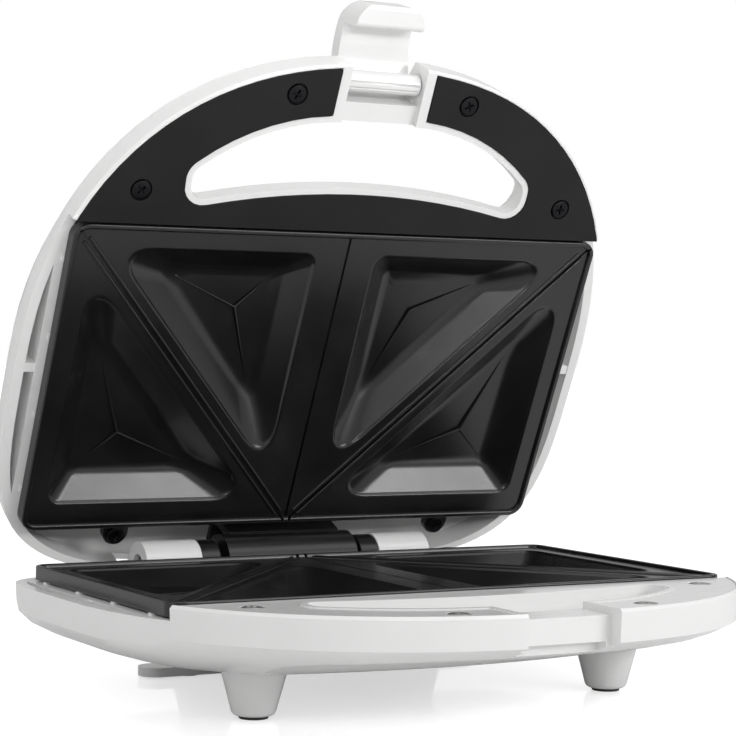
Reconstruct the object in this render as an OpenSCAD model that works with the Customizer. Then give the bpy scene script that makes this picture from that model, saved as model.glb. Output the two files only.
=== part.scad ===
// Sandwich toaster with a hinged lid, a snap latch and two cooking plates.
// X runs along the hinge, -Y points at the handle, +Z is up, and the feet stand on Z = 0.
// The lid is drawn at its rest angle; a "half" is drawn with its plates' plane at Z = 0
// and its hollow below, and the lid's half is the same thing turned over.

/* [Cooking plates] */
// Width of a cooking plate
plate_w = 220; // [200:1:240]
// Depth of a cooking plate, from the hinge side to the handle side
plate_d = 123; // [112:1:136]
// Corner radius of a plate
plate_r = 6; // [3:0.5:9]
// Height of the plate's side skirt
skirt_h = 5; // [4.5:0.1:6]
// Thickness of the cast metal
plate_t = 2.6; // [2:0.1:3.2]
// Width of the raised rim round a plate
rim_w = 2; // [1.6:0.1:4]
// Depth of the deck between the pockets below the rim
deck_drop = 1.2; // [0.8:0.1:2]
// Depth of a pocket's floor below the rim
pocket_deep = 9.5; // [8:0.5:10.5]
// Distance from the plate's outer side to a pocket
margin_side = 8; // [7:0.5:11]
// Distance from the plate's handle side to a pocket
margin_front = 8; // [7:0.5:11]
// Distance from the plate's hinge side to a pocket
margin_rear = 9.5; // [7:0.5:12]
// Distance from the plate's centre line to a pocket
margin_mid = 11.5; // [9:0.5:14]
// Distance from a diagonal's centre line to a pocket
margin_diag = 4.5; // [3.5:0.25:7]
// Run of a pocket's sloped walls
pocket_slope = 13; // [10:0.5:15]
// Corner radius of a pocket at the deck
pocket_r = 7; // [5:0.5:8]
// Rise of the three-sided hip on a pocket's floor
hip_rise = 0.9; // [0.5:0.1:1.5]
// Width of a dividing rib on the deck
divider_w = 1.3; // [0.8:0.1:1.6]
// Gap between the two ribs of a diagonal
divider_gap = 1.2; // [0.8:0.1:1.6]
// Width of the groove between the two squares
groove_w = 1; // [0.6:0.1:2]
// Depth of the groove below the deck
groove_deep = 0.8; // [0.5:0.1:1.2]
// Distance of a plate's screw ear from the centre
ear_x = 70.5; // [66:0.5:80]
// Reach of a screw ear beyond the plate
ear_reach = 8; // [7.5:0.1:8.5]

/* [Housings] */
// Reach of a flank beyond the plate's side at its widest
flank_reach = 11.2; // [9:0.1:16]
// Reach of the handle beyond the plate
handle_reach = 65.5; // [60:0.5:75]
// Reach of the lower housing behind the plate
base_rear = 12; // [10:0.5:14]
// Reach of the upper housing behind the plate
lid_rear = 24; // [20:0.5:30]
// Distance of the widest place from the plate's hinge side
widest_y = 66; // [55:1:75]
// Depth of the lower housing below the plates
base_deep = 27; // [26:0.5:34]
// Depth of the upper housing above the plates
lid_deep = 30; // [27:0.5:38]
// Height of the upright band at the rim of a housing
band_h = 11.5; // [10:0.5:13]
// Run of the curved side below the band
side_run = 40; // [25:1:50]
// Run of the sloped underside of the handle
handle_run = 58; // [50:1:70]
// Run of the curve at the rear
rear_run = 11; // [6:0.5:14]
// Wall thickness of the housings
wall = 2.4; // [2:0.1:3]
// Wall thickness at the open rim of a flank
rim_wall = 3.8; // [3:0.1:4.5]
// Drop of the flank's rim below the plates' plane
flank_drop = 5.6; // [5.2:0.1:6.5]
// Thickness of the wall that carries a plate's side
seat_w = 5; // [4:0.5:6]
// Small rounding of the rim
edge_r = 1.1; // [0.6:0.1:1.6]
// Number of small standoffs along each side of a plate
nub_count = 4; // [2:1:6]
// Place of the bridging rib in each flank, from the plate's hinge side
rib_y = 64.5; // [50:0.5:80]

/* [Handle] */
// Thickness of a handle cover
cover_t = 2; // [1.6:0.1:2.4]
// Drop of the lower handle's cover below the plates' plane
base_cover_drop = 0.9; // [0.7:0.1:1.5]
// Drop of the upper handle's inlay below the plates' plane
lid_cover_drop = 0.1; // [-0.3:0.1:1]
// Thickness of the housing's lip outside a handle cover
cover_lip = 1.2; // [1:0.1:2]
// Width of the rim between a handle cover and the finger opening
cover_rim = 2.3; // [1:0.1:3]
// Width of the finger opening
opening_w = 139; // [120:1:150]
// Width of the handle bar at its middle
bar_w = 22.3; // [20:0.1:24]
// Width of the web between the plate and the finger opening
web_w = 17.9; // [16:0.1:20]
// Half length of the straight middle of the opening's handle side
opening_flat = 13; // [4:1:20]
// Radius of the opening's handle side
opening_r = 84; // [80:1:110]
// Radius of the opening's plate side
web_r = 293; // [250:1:400]
// Corner radius of the opening
opening_corner = 5.6; // [4:0.1:8]
// Depth of the opening's straight wall before it flares out
opening_lip = 7; // [5:0.5:9]
// Distance of the inner cover screws from the centre
screw_in_x = 35.8; // [30:0.5:45]
// Distance of the outer cover screws from the centre
screw_out_x = 88.2; // [84:0.5:92]
// Distance of the inner cover screws from the handle's edge
screw_in_edge = 12.9; // [12:0.1:14]
// Distance of the outer cover screws from the plate
screw_out_y = 13.6; // [11:0.1:16]

/* [Latch] */
// Width of the latch
latch_w = 30; // [24:0.2:32]
// Distance of the latch's pivot from the handle's edge
pivot_edge = 8.3; // [7.5:0.1:9]
// Height of the latch's pivot in the lid
pivot_deep = 6.4; // [5.5:0.1:8]
// Radius of the latch's barrel
latch_barrel_r = 3.9; // [3.4:0.1:4.2]
// Width of the latch at its hook
hook_w = 28; // [22:0.2:30]
// Thickness of the latch's arm
latch_arm = 5.3; // [3:0.1:5.5]
// Length of the latch's hook under the lower handle
hook_len = 6; // [5:0.1:8]
// Thickness of the latch's hook
hook_t = 8.6; // [6:0.1:9]
// Outward bow of the latch's arm
latch_bow = 4.2; // [1.5:0.1:4.5]
// Radius of the latch's lower corners
latch_corner = 8; // [4:0.5:9]
// Angle between the latched and the shown place of the latch
latch_open = 100; // [80:1:110]

/* [Hinge] */
// Distance of the hinge axis behind the plates
hinge_y = 14; // [13:0.1:16]
// Depth of the hinge axis below the plates' plane
hinge_drop = 3.9; // [3:0.1:5]
// Opening angle of the lid as it is drawn
lid_open = 65; // [0:1:100]
// Gap between the two plates when the lid is shut
plate_gap = 0.8; // [0.6:0.1:1.5]
// Radius of the middle barrel
barrel_r = 11; // [9:0.1:11.4]
// Half length of the middle barrel
barrel_half = 28; // [24:0.5:30]
// Distance of the collars from the centre
collar_x = 30.6; // [30.5:0.1:32]
// Length of a collar's flange
collar_l = 8.2; // [6:0.1:9]
// Radius of a collar's flange and of the hinge blocks
block_r = 9.4; // [8:0.1:10]
// Length of a hinge block
block_l = 23; // [18:0.5:26]
// Radius of a hinge pin
pin_r = 2.5; // [2:0.1:3]
// Radius of a collar's sleeve
sleeve_r = 4.5; // [4:0.1:5.5]
// Room between moving pieces of the hinge
swing_gap = 1.2; // [0.8:0.1:1.6]

/* [Feet] */
// Height of a foot without its pad
foot_h = 14.2; // [10:0.1:20]
// Thickness of a foot pad
pad_h = 1; // [0.6:0.1:3]
// Radius of a front foot at the housing
foot_r_top = 11; // [9:0.1:13]
// Radius of a front foot at its pad
foot_r_end = 7.75; // [6:0.05:8.5]
// Rounding of a front foot's lower edge
foot_round = 2.4; // [1:0.1:3]
// Radius of a foot pad
pad_r = 5; // [4:0.1:5.2]
// Distance of a front foot from the centre
foot_x = 71.2; // [60:0.2:76]
// Distance of a front foot from the plate's hinge side
foot_y = 104.6; // [95:0.2:110]
// Half length of the rear stand
stand_half = 58; // [45:1:66]
// Depth of the rear stand at the floor
stand_d = 13; // [12:0.5:16]
// Distance of the rear stand from the plate's hinge side
stand_y = 10; // [8:0.5:12]
// Height of the stand's pads below it
stand_clear = 0.5; // [0.3:0.1:1]

/* [Electrics] */
// Radius of a heating tube
heater_r = 3.1; // [2.6:0.1:3.4]
// Distance between the runs of a heating tube
heater_pitch = 62; // [50:1:70]
// Half length of the straight runs of a heating tube
heater_half = 62; // [50:1:68]
// Thickness of a heat shield
shield_t = 0.8; // [0.6:0.1:1.2]
// Radius of an indicator lens
lens_r = 3; // [2.5:0.1:4]
// Distance of an indicator lens from the centre
lens_x = 9; // [7:0.5:14]
// Bore radius of the cord inlet
inlet_r = 3.6; // [3:0.1:4]
// Distance of the cord inlet from the plate's side
inlet_side = 24; // [18:1:34]
// Radius of the thermostat
thermostat_r = 6.5; // [5:0.1:8]
// Height of the thermostat
thermostat_h = 6; // [4:0.1:8]
// Reach of a heat shield beyond the straight runs of its tube
shield_reach = 6; // [4:0.5:8]
// Distance of the terminal block from the heat shield
terminal_gap = 2; // [1:0.5:8]

/* [Hidden] */

eps = 0.05;
lens_back = 13;                      // distance of the lenses behind the plate's handle side
seat_gap = 0.1;                      // room round a piece that is set into another
ring_n = 96;                         // points on a housing outline
curve_n = 6;                         // steps of a housing's curved side
front_power = 2.3;                   // squareness of the outline's handle side
base_rear_power = 7;                 // squareness of the lower outline's hinge side
lid_rear_power = 4.1;                // squareness of the upper outline's hinge side
half_w = plate_w / 2 + flank_reach;
front_len = plate_d + handle_reach - widest_y;
edge_y = plate_d + handle_reach;     // handle's edge, as a distance from the plate's hinge side
base_h = base_deep + foot_h + pad_h; // plates' plane above the floor
slot_half = latch_w / 2 + 0.6;       // half width of the latch's slot in the lid
notch_half = latch_w / 2 + 2.6;      // half width of the latch's notch in the base
lug_half = latch_w / 2 + 4.4;        // half width of the gap in the handle covers
pivot_y = edge_y - pivot_edge;
channel_deep = 6.2;                  // depth of the channel in the lower handle's edge
recess_deep = 3;                     // depth of the latch recess in the bar
latch_room = 3;                      // room behind the latch's barrel
screw_r = 1.5;
head_r = 3.6;
head_h = 1.5;
head_sink = 0.3;
screw_len = 8;
pocket_metal = 2;                    // metal under a pocket
heater_z = pocket_deep + pocket_metal + heater_r + seat_gap;
clamp_t = 1.1;                       // wall of a heating tube's clamp
clamp_rear = 5;                      // distance of the rear clamps from the ends of the straight runs
clamp_front = 22;                    // the same of the front clamps
shield_z = heater_z + heater_r + clamp_t;
clear_r = barrel_r + swing_gap;
rib_w = 3.6;
ear_hole_y = head_r + 0.3;           // distance of an ear's screw from the plate
divider_end = 10;                    // distance from a plate's side to the ends of its diagonal ribs
inlet_x = plate_w / 2 - inlet_side;
cover_side = plate_d + 0.8;          // distance of a cover's plate side from the plate's hinge side
post_deep = 20;                      // depth of the solid part of the bar behind the latch
pin_in = 8;                          // how far a hinge pin goes into the barrel
pad_sink = 0.8;
flare_cone = 0.6;                    // share of straight slope in the opening's flare
bracket_x = 17;                      // screws of the middle barrel's bracket
bracket_y = 11.5;
bracket_z = 14.8;
lip_reach = 13;                      // reach of the stand's lips beyond the stand

// The part's origin is the middle of its footprint with the lid as drawn.
front_y = -widest_y - front_len * pow(1 - pow(notch_half / half_w, front_power), 1 / front_power);
rear_y = hinge_y + max([for (a = [0 : 90 / curve_n : 90])
    (lid_rear - rear_run * (1 - cos(a)) - hinge_y) * cos(lid_open)
    + (band_h + (lid_deep - band_h) * sin(a) + plate_gap + hinge_drop) * sin(lid_open)]);
origin_y = -(front_y + rear_y) / 2;

// ---------- shared shapes ----------

function sgn_pow(v, p) = sign(v) * pow(abs(v), p);

// Outline of a housing: a wide oval, fuller at the hinge side, pulled in by dx, df and dr.
function outline(rear, rear_power, dx, df, dr) = [
    for (i = [0 : ring_n - 1])
        let (a = 360 * i / ring_n, p = 2 / (sin(a) < 0 ? front_power : rear_power))
        [(half_w - dx) * sgn_pow(cos(a), p),
         -widest_y + (sin(a) < 0 ? front_len - df : rear + widest_y - dr) * sgn_pow(sin(a), p)]
];

function raise(points, z) = [for (p = points) [p[0], p[1], z]];

// Solid through a list of rings with equal counts, from the lowest ring to the highest.
module loft(rings) {
    n = len(rings[0]);
    m = len(rings);
    polyhedron(
        points = [for (r = rings) each r],
        faces = [
            [for (j = [0 : n - 1]) j],
            for (i = [0 : m - 2]) for (j = [0 : n - 1]) let (k = (j + 1) % n) each [
                [i * n + j, (i + 1) * n + j, (i + 1) * n + k],
                [i * n + j, (i + 1) * n + k, i * n + k]],
            [for (j = [n - 1 : -1 : 0]) (m - 1) * n + j],
        ],
        convexity = 8);
}

// Outer or inner skin of a housing; t is the wall taken off and top is the height of its open end.
module housing_skin(rear, rear_power, deep, t, t_side, top) {
    low = deep - t;
    loft([
        for (k = [curve_n : -1 : 1])
            let (a = 90 * k / curve_n, s = sin(a), c = 1 - cos(a))
            raise(outline(rear, rear_power, side_run * c + t, handle_run * (0.75 * s + 0.25 * c) + t,
                          rear_run * c + t), -band_h - (low - band_h) * s),
        raise(outline(rear, rear_power, 0.4 + t_side, 0.4 + t, 0.4 + t), -band_h),
        raise(outline(rear, rear_power, t_side, t, t), top - edge_r),
        raise(outline(rear, rear_power, t_side + (t > 0 ? 0 : edge_r * 0.7), t + (t > 0 ? 0 : edge_r * 0.7),
                      t + (t > 0 ? 0 : edge_r * 0.7)), top),
    ]);
}

module outer_skin(rear, rear_power, deep) { housing_skin(rear, rear_power, deep, 0, 0, -0.6); }
module inner_skin(rear, rear_power, deep) { housing_skin(rear, rear_power, deep, wall, rim_wall, 1.5); }

function arc(c, r, from, to, n) = [
    for (i = [0 : n - 1]) let (a = from + (to - from) * i / n) c + r * [cos(a), sin(a)]
];

// Kidney-shaped outline of the finger opening, grown by g.
function opening_ring(g) =
    let (r = opening_corner, x = opening_w / 2 - r, flat = opening_flat,
         bar_c = -(edge_y - bar_w - opening_r), web_c = web_r - plate_d - web_w,
         bar_y = bar_c - sqrt(pow(opening_r - r, 2) - pow(x - flat, 2)),
         web_y = max(bar_y, web_c - sqrt(pow(web_r + r, 2) - x * x)),
         a = atan2(bar_y - bar_c, x - flat), b = atan2(web_y - web_c, x))
    concat(arc([-flat, bar_c], opening_r + g, -180 - a, -90, 8),
           [[-flat, bar_c - opening_r - g]],
           arc([flat, bar_c], opening_r + g, -90, a, 8),
           arc([x, bar_y], r + g, a, 0, 6),
           arc([x, web_y], r + g, 0, b + 180, 6),
           arc([0, web_c], web_r - g, b, -180 - b, 13),
           arc([-x, web_y], r + g, -b, 180, 6),
           arc([-x, bar_y], r + g, 180, 180 - a, 6));

// Finger opening through a housing, flaring out towards its outside; t thickens it into a skin,
// and a rim goes on from its top to rim_top.
module opening_flare(deep, t, top, rim = 0, rim_top = 0) {
    flare = deep - opening_lip;
    loft([
        raise(opening_ring(flare), -deep - 5),
        for (a = [90 : -15 : 0])
            raise(opening_ring(flare * (flare_cone * sin(a) + (1 - flare_cone) * (1 - cos(a))) + t * cos(a)),
                  -opening_lip - (flare - t) * sin(a)),
        raise(opening_ring(t), top),
        if (rim > 0) raise(opening_ring(rim), top),
        if (rim > 0) raise(opening_ring(rim), rim_top),
    ]);
}

cover_screws = [[-screw_out_x, -plate_d - screw_out_y], [-screw_in_x, -edge_y + screw_in_edge],
                [screw_in_x, -edge_y + screw_in_edge], [screw_out_x, -plate_d - screw_out_y]];

module box(x, y, z) {
    translate([x[0], y[0], z[0]]) cube([x[1] - x[0], y[1] - y[0], z[1] - z[0]]);
}

// Plan of a handle cover grown by g, without its gap for the latch.
module cover_plan(g) {
    difference() {
        polygon(outline(base_rear, front_power, cover_lip + seat_gap - g, cover_lip + seat_gap - g, 0));
        translate([-half_w, -cover_side + g]) square([2 * half_w, 2 * plate_d]);
        polygon(opening_ring(cover_rim + seat_gap - g));
    }
}

// Half of the toaster without what only the base or only the lid has.
module half_shell(rear, rear_power, deep, cover_drop) {
    seat_top = -flank_drop;
    cover_seat = -cover_drop - cover_t;
    difference() {
        union() {
            difference() {
                outer_skin(rear, rear_power, deep);
                inner_skin(rear, rear_power, deep);
            }
            intersection() {
                outer_skin(rear, rear_power, deep);
                union() {
                    for (s = [-1, 1]) {
                        // wall beside the plate, and the rib that bridges the flank
                        box(s > 0 ? [plate_w / 2 - 1.8, plate_w / 2 - 1.8 + seat_w]
                                  : [-plate_w / 2 + 1.8 - seat_w, -plate_w / 2 + 1.8],
                            [-plate_d - 1.2, rear - wall], [-deep, seat_top]);
                        box(s > 0 ? [plate_w / 2, half_w - 1] : [-half_w + 1, -plate_w / 2],
                            [-rib_y - rib_w / 2, -rib_y + rib_w / 2], [-deep, seat_top - 0.3]);
                    }
                    // wall between the plate and the handle, which also carries the cover
                    box([-half_w, half_w], [-plate_d - 3.4, -plate_d - 1.2], [-deep, cover_seat]);
                    // solid part of the bar behind the latch
                    box([-lug_half, lug_half], [-edge_y, -edge_y + bar_w + 4], [-post_deep, -0.6]);
                    // wall round the finger opening, with a thin rim beside the cover
                    opening_flare(deep, wall, cover_seat, cover_rim, 0);
                    for (p = cover_screws)
                        translate([p[0], p[1], -deep]) cylinder(r = 4, h = deep + cover_seat, $fn = 32);
                    for (s = [-1, 1])
                        translate([s * ear_x, ear_hole_y, -deep])
                            cylinder(r = 3.2, h = deep - skirt_h - 0.1, $fn = 32);
                }
            }
        }
        // low rim along the flanks and the rear
        box([-half_w - 5, half_w + 5], [-plate_d - 1.2, rear + 5], [seat_top, 5]);
        opening_flare(deep, 0, 5);
        // seat of the cover, which leaves a thin lip outside it
        translate([0, 0, cover_seat]) linear_extrude(10) difference() {
            cover_plan(seat_gap);
            translate([-lug_half, -edge_y - 1]) square([2 * lug_half, bar_w + 5]);
        }
        for (p = cover_screws)
            translate([p[0], p[1], -cover_drop - screw_len]) cylinder(r = screw_r + eps, h = 20, $fn = 24);
        for (s = [-1, 1])
            translate([s * ear_x, ear_hole_y, -skirt_h - screw_len])
                cylinder(r = screw_r + eps, h = 20, $fn = 24);
    }
    // standoffs under the plate's skirt
    for (s = [-1, 1]) for (i = [0 : nub_count - 1])
        translate([s * (plate_w / 2 - 0.6), -plate_d * (i + 0.5) / nub_count, seat_top - eps])
            translate([-1.2, -1.2, 0]) cube([2.4, 2.4, flank_drop - skirt_h + eps]);
}

// C-shaped cover of a handle.
module handle_cover(cover_drop) {
    difference() {
        translate([0, 0, -cover_drop - cover_t]) linear_extrude(cover_t) difference() {
            cover_plan(0);
            translate([-lug_half - 0.2, -edge_y - 1]) square([2 * lug_half + 0.4, bar_w + 1]);
        }
        for (p = cover_screws) translate([p[0], p[1], -cover_drop - cover_t - 1]) {
            cylinder(r = screw_r + 0.2, h = cover_t + 2, $fn = 24);
            translate([0, 0, 1 + cover_t - head_h - head_sink + 0.6])
                cylinder(r = head_r + 0.5, h = 3, $fn = 32);
        }
    }
}

// Cross-head screw with the top of its head at z = 0.
module screw() {
    difference() {
        union() {
            translate([0, 0, -head_h + 0.6]) cylinder(r = head_r, h = head_h - 0.6, $fn = 32);
            translate([0, 0, -screw_len + 1.5]) cylinder(r = screw_r, h = screw_len - 1.6, $fn = 24);
        }
        for (a = [0, 90]) rotate(a + 30) translate([-1.9, -0.4, -0.5]) cube([3.8, 0.8, 1]);
    }
}

module cover_screw_set(cover_drop) {
    for (p = cover_screws) translate([p[0], p[1], -cover_drop - head_sink]) screw();
}

// ---------- cooking plate ----------

function unit(v) = v / norm(v);

// Polygon (counter-clockwise, convex) pulled in by d.
function inset_poly(pts, d) = [
    for (i = [0 : len(pts) - 1])
        let (n = len(pts), c = pts[i], a = unit(pts[(i + n - 1) % n] - c), b = unit(pts[(i + 1) % n] - c),
             half = acos(a * b) / 2)
        c + unit(a + b) * d / sin(half)
];

// The same polygon with its corners rounded by r, six points a corner.
function round_poly(pts, r) = [
    for (i = [0 : len(pts) - 1])
        let (n = len(pts), c = pts[i], a = unit(pts[(i + n - 1) % n] - c), b = unit(pts[(i + 1) % n] - c),
             half = acos(a * b) / 2, m = c + unit(a + b) * r / sin(half),
             from = c + a * r / tan(half) - m, start = atan2(from[1], from[0]), sweep = 180 - 2 * half)
        for (k = [0 : 5]) m + r * [cos(start + sweep * k / 5), sin(start + sweep * k / 5)]
];

diag_slope = plate_d / (plate_w / 2);
diag_shift = margin_diag * sqrt(1 + pow(diag_slope, 2));

// Pocket triangles of the left square: the outer one and the inner one.
outer_pocket = [
    [-plate_w / 2 + margin_side, -margin_rear],
    [-plate_w / 2 + margin_side, -(plate_w / 2 - margin_side) * diag_slope + diag_shift],
    [-(margin_rear + diag_shift) / diag_slope, -margin_rear],
];
inner_pocket = [
    [-margin_mid, -margin_mid * diag_slope - diag_shift],
    [-(plate_d - margin_front - diag_shift) / diag_slope, -plate_d + margin_front],
    [-margin_mid, -plate_d + margin_front],
];

module both_sides() {
    children();
    mirror([1, 0, 0]) children();
}

// Hollow of a pocket (grow = 0) or the metal round it (grow > 0).
module pocket(tri, grow) {
    floor_z = -pocket_deep - grow;
    loft([
        raise(round_poly(inset_poly(tri, pocket_slope - grow), pocket_r * 0.35), floor_z),
        raise(round_poly(inset_poly(tri, pocket_slope - 2.2 - grow), pocket_r * 0.45), floor_z + 0.6),
        raise(round_poly(inset_poly(tri, 1.6 - grow), pocket_r * 0.85), -deck_drop - (grow > 0 ? 0.6 : 1)),
        raise(round_poly(inset_poly(tri, -grow), pocket_r), grow > 0 ? -deck_drop - eps : -deck_drop + 3),
    ]);
}

// Low hip with three ridges on a pocket's floor.
module pocket_hip(tri) {
    base = inset_poly(tri, pocket_slope + 0.5);
    mid = (base[0] + base[1] + base[2]) / 3;
    polyhedron(
        points = [for (p = base) [p[0], p[1], -pocket_deep - 0.3],
                  for (p = base) [p[0], p[1], -pocket_deep + eps],
                  [mid[0], mid[1], -pocket_deep + hip_rise]],
        faces = [[0, 1, 2], [0, 3, 4], [0, 4, 1], [1, 4, 5], [1, 5, 2], [2, 5, 3], [2, 3, 0],
                 [3, 6, 4], [4, 6, 5], [5, 6, 3]]);
}

module rounded_plan(inset, r) {
    hull() for (x = [-1, 1]) for (y = [0, 1])
        translate([x * (plate_w / 2 - inset - r), y ? -plate_d + inset + r : -inset - r])
            circle(r = r, $fn = 32);
}

module cooking_plate() {
    difference() {
        union() {
            difference() {
                translate([0, 0, -skirt_h]) linear_extrude(skirt_h) rounded_plan(0, plate_r);
                translate([0, 0, -skirt_h - 1]) linear_extrude(skirt_h + 1 - deck_drop - plate_t)
                    rounded_plan(plate_t - 0.4, plate_r - 2);
                translate([0, 0, -deck_drop]) linear_extrude(5) rounded_plan(rim_w, plate_r - 2);
            }
            both_sides() {
                pocket(outer_pocket, pocket_metal);
                pocket(inner_pocket, pocket_metal);
                // pair of ribs along the diagonal
                intersection() {
                    box([-plate_w / 2 + divider_end, -divider_end / 2],
                        [-plate_d + divider_end * diag_slope, -divider_end / 2 * diag_slope],
                        [-deck_drop - 0.5, -0.2]);
                    rotate(atan(diag_slope)) for (s = [-1, 1])
                        translate([-2 * plate_w, (s * (divider_gap + divider_w) - divider_w) / 2, -5])
                            cube([2 * plate_w, divider_w, 10]);
                }
                translate([ear_x - 5, -2, -skirt_h]) cube([10, 2 + ear_reach - 5, 3]);
                translate([ear_x, ear_reach - 5, -skirt_h]) cylinder(r = 5, h = 3, $fn = 40);
            }
        }
        both_sides() {
            pocket(outer_pocket, 0);
            pocket(inner_pocket, 0);
            translate([ear_x, ear_hole_y, -20]) cylinder(r = screw_r + 0.2, h = 40, $fn = 24);
        }
        // groove between the squares
        box([-groove_w / 2, groove_w / 2], [-plate_d + rim_w, -rim_w], [-deck_drop - groove_deep, 1]);
    }
    both_sides() {
        pocket_hip(outer_pocket);
        pocket_hip(inner_pocket);
    }
}

module plate_screw_set() {
    for (s = [-1, 1]) translate([s * ear_x, ear_hole_y, -skirt_h + 3 + head_h - 0.6]) screw();
}

// ---------- heating ----------

heater_y = -plate_d / 2;

module heater() {
    translate([0, heater_y, -heater_z]) {
        for (s = [-1, 1]) translate([-heater_half, s * heater_pitch / 2, 0]) rotate([0, 90, 0])
            cylinder(r = heater_r, h = 2 * heater_half, $fn = 32);
        translate([-heater_half, 0, 0]) rotate(90) rotate_extrude(angle = 180, $fn = 64)
            translate([heater_pitch / 2, 0]) circle(r = heater_r, $fn = 32);
        for (s = [-1, 1]) translate([heater_half, s * heater_pitch / 2, 0]) rotate([0, 90, 0])
            cylinder(r = 1.2, h = 10, $fn = 24);
    }
}

// Saddle clamps that hold the straight runs against the undersides of the pockets.
module heater_clamps() {
    top = heater_z - pocket_deep - pocket_metal;
    for (x = [-1, 1]) for (s = [-1, 1])
        translate([x * (heater_half - (s > 0 ? clamp_rear : clamp_front)), heater_y + s * heater_pitch / 2,
                   -heater_z]) difference() {
            translate([-4, -heater_r - clamp_t, -heater_r - clamp_t])
                cube([8, 2 * (heater_r + clamp_t), heater_r + clamp_t + top]);
            rotate([0, 90, 0]) translate([0, 0, -6]) cylinder(r = heater_r + eps, h = 12, $fn = 32);
            translate([-5, -heater_r - eps, 0]) cube([10, 2 * (heater_r + eps), heater_r + 5]);
        }
}

module heat_shield() {
    x = heater_half + shield_reach;
    y = heater_pitch / 2 + 10;
    translate([0, heater_y, -shield_z]) difference() {
        union() {
            translate([-x - heater_pitch / 2, -y, -shield_t])
                cube([2 * x + heater_pitch / 2, 2 * y, shield_t]);
            for (s = [-1, 1]) translate([-x - heater_pitch / 2, s * y - (s > 0 ? shield_t : 0), -shield_t])
                cube([2 * x + heater_pitch / 2, shield_t, 3.5]);
        }
        for (i = [-2 : 2]) translate([i * 24, 0, 0]) cylinder(r = 4, h = 10, center = true, $fn = 24);
    }
}

// ---------- placing ----------

module base_place() { translate([0, origin_y, base_h]) children(); }
module lid_turn() {
    base_place() translate([0, hinge_y, -hinge_drop]) rotate([-lid_open, 0, 0])
        translate([0, -hinge_y, hinge_drop]) children();
}
module lid_place() { lid_turn() translate([0, 0, plate_gap]) mirror([0, 0, 1]) children(); }
module along_hinge(x0, x1, r, fn = 64) {
    translate([x0, hinge_y, -hinge_drop]) rotate([0, 90, 0]) cylinder(r = r, h = x1 - x0, $fn = fn);
}

// ---------- base ----------

block_x = collar_x + collar_l;       // inner end of a hinge block
block_end = block_x + block_l;

module hinge_blocks() {
    for (s = [-1, 1]) {
        x0 = s > 0 ? block_x : -block_end;
        x1 = s > 0 ? block_end : -block_x;
        along_hinge(x0, x1, block_r);
        box([x0, x1], [base_rear - 3, hinge_y + block_r], [-base_deep + 5, -hinge_drop]);
        box([x0, x1], [base_rear - wall - 4, hinge_y], [-base_deep + 3, -hinge_drop + 1]);
    }
}

module rear_stand() {
    low = -base_h + stand_clear;
    translate([0, -stand_y, low]) {
        hull() for (s = [-1, 1]) {
            translate([s * (stand_half - stand_d / 2), 0, 0]) cylinder(d = stand_d, h = 1, $fn = 32);
            translate([s * (stand_half - stand_d / 2 - 6), 0, -base_deep + 1 - low])
                cylinder(d = stand_d + 1, h = 3, $fn = 32);
        }
        // lip that keeps a wound cord in place
        hull() for (s = [-1, 1]) translate([s * (stand_half + lip_reach - stand_d / 2), 0, 0])
            cylinder(d = stand_d, h = 3.4, $fn = 32);
    }
}

// Front foot, round at its lower edge; it goes on into the housing.
module front_foot() {
    lean = atan((foot_r_top - foot_r_end) / foot_h);
    c = [foot_r_end - foot_round, foot_round];
    rotate_extrude($fn = 48) polygon(concat(
        [[0, 0]],
        arc(c, foot_round, -90, -lean, 6),
        [[foot_r_top, foot_h], [foot_r_top + 0.8, foot_h + 3.5], [0, foot_h + 3.5]]));
}

// Places of the four pads: two under the front feet and two under the rear stand.
module at_pads() {
    for (s = [-1, 1]) {
        translate([s * foot_x, -foot_y, -base_h]) children();
        translate([s * (stand_half - 6), -stand_y, -base_h]) children();
    }
}

module base_shell() {
    color("white") base_place() difference() {
        union() {
            half_shell(base_rear, base_rear_power, base_deep, base_cover_drop);
            for (s = [-1, 1]) translate([s * foot_x, -foot_y, -base_deep - foot_h]) front_foot();
            rear_stand();
            hinge_blocks();
            // trough behind the plate that the middle barrel turns in
            intersection() {
                along_hinge(-block_x, block_x, clear_r + wall);
                box([-block_x - 1, block_x + 1], [seat_gap, base_rear], [-base_deep, -hinge_drop]);
            }
        }
        along_hinge(-block_x, block_x, clear_r);
        along_hinge(-block_end - 1, block_end + 1, sleeve_r + eps);
        // latch channel in the handle's edge, ramp above it and ledge under it
        box([-notch_half, notch_half], [-edge_y - 1, -edge_y + channel_deep], [-base_deep, 1]);
        box([-notch_half, notch_half], [-edge_y - 1, -edge_y + bar_w + 4], [-recess_deep, 1]);
        box([-slot_half, slot_half], [-edge_y - 1, -edge_y + channel_deep + hook_len - 0.6],
            [-base_deep, -band_h]);
        at_pads() translate([0, 0, -1]) cylinder(r = pad_r + eps, h = 1 + pad_h + pad_sink, $fn = 40);
        // cord inlet
        translate([inlet_x, base_rear - 8, -base_deep / 2 - 1]) rotate([-90, 0, 0])
            cylinder(r = inlet_r + 1.8, h = 20, $fn = 40);
        // air slots in the underside
        for (i = [-4 : 4]) translate([i * 9 - 1.3, -plate_d / 2 - 22, -base_deep - 1])
            cube([2.6, 44, wall + 3]);
    }
}

module base_handle_cover() { color("white") base_place() handle_cover(base_cover_drop); }
module base_cover_screws() { color("dimgray") base_place() cover_screw_set(base_cover_drop); }
module base_plate() { color("#1d1d1f") base_place() cooking_plate(); }
module base_plate_screws() { color("dimgray") base_place() plate_screw_set(); }
module base_heater() { color("silver") base_place() heater(); }
module base_heater_clamps() { color("lightgray") base_place() heater_clamps(); }
module base_heat_shield() { color("gainsboro") base_place() heat_shield(); }

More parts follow.
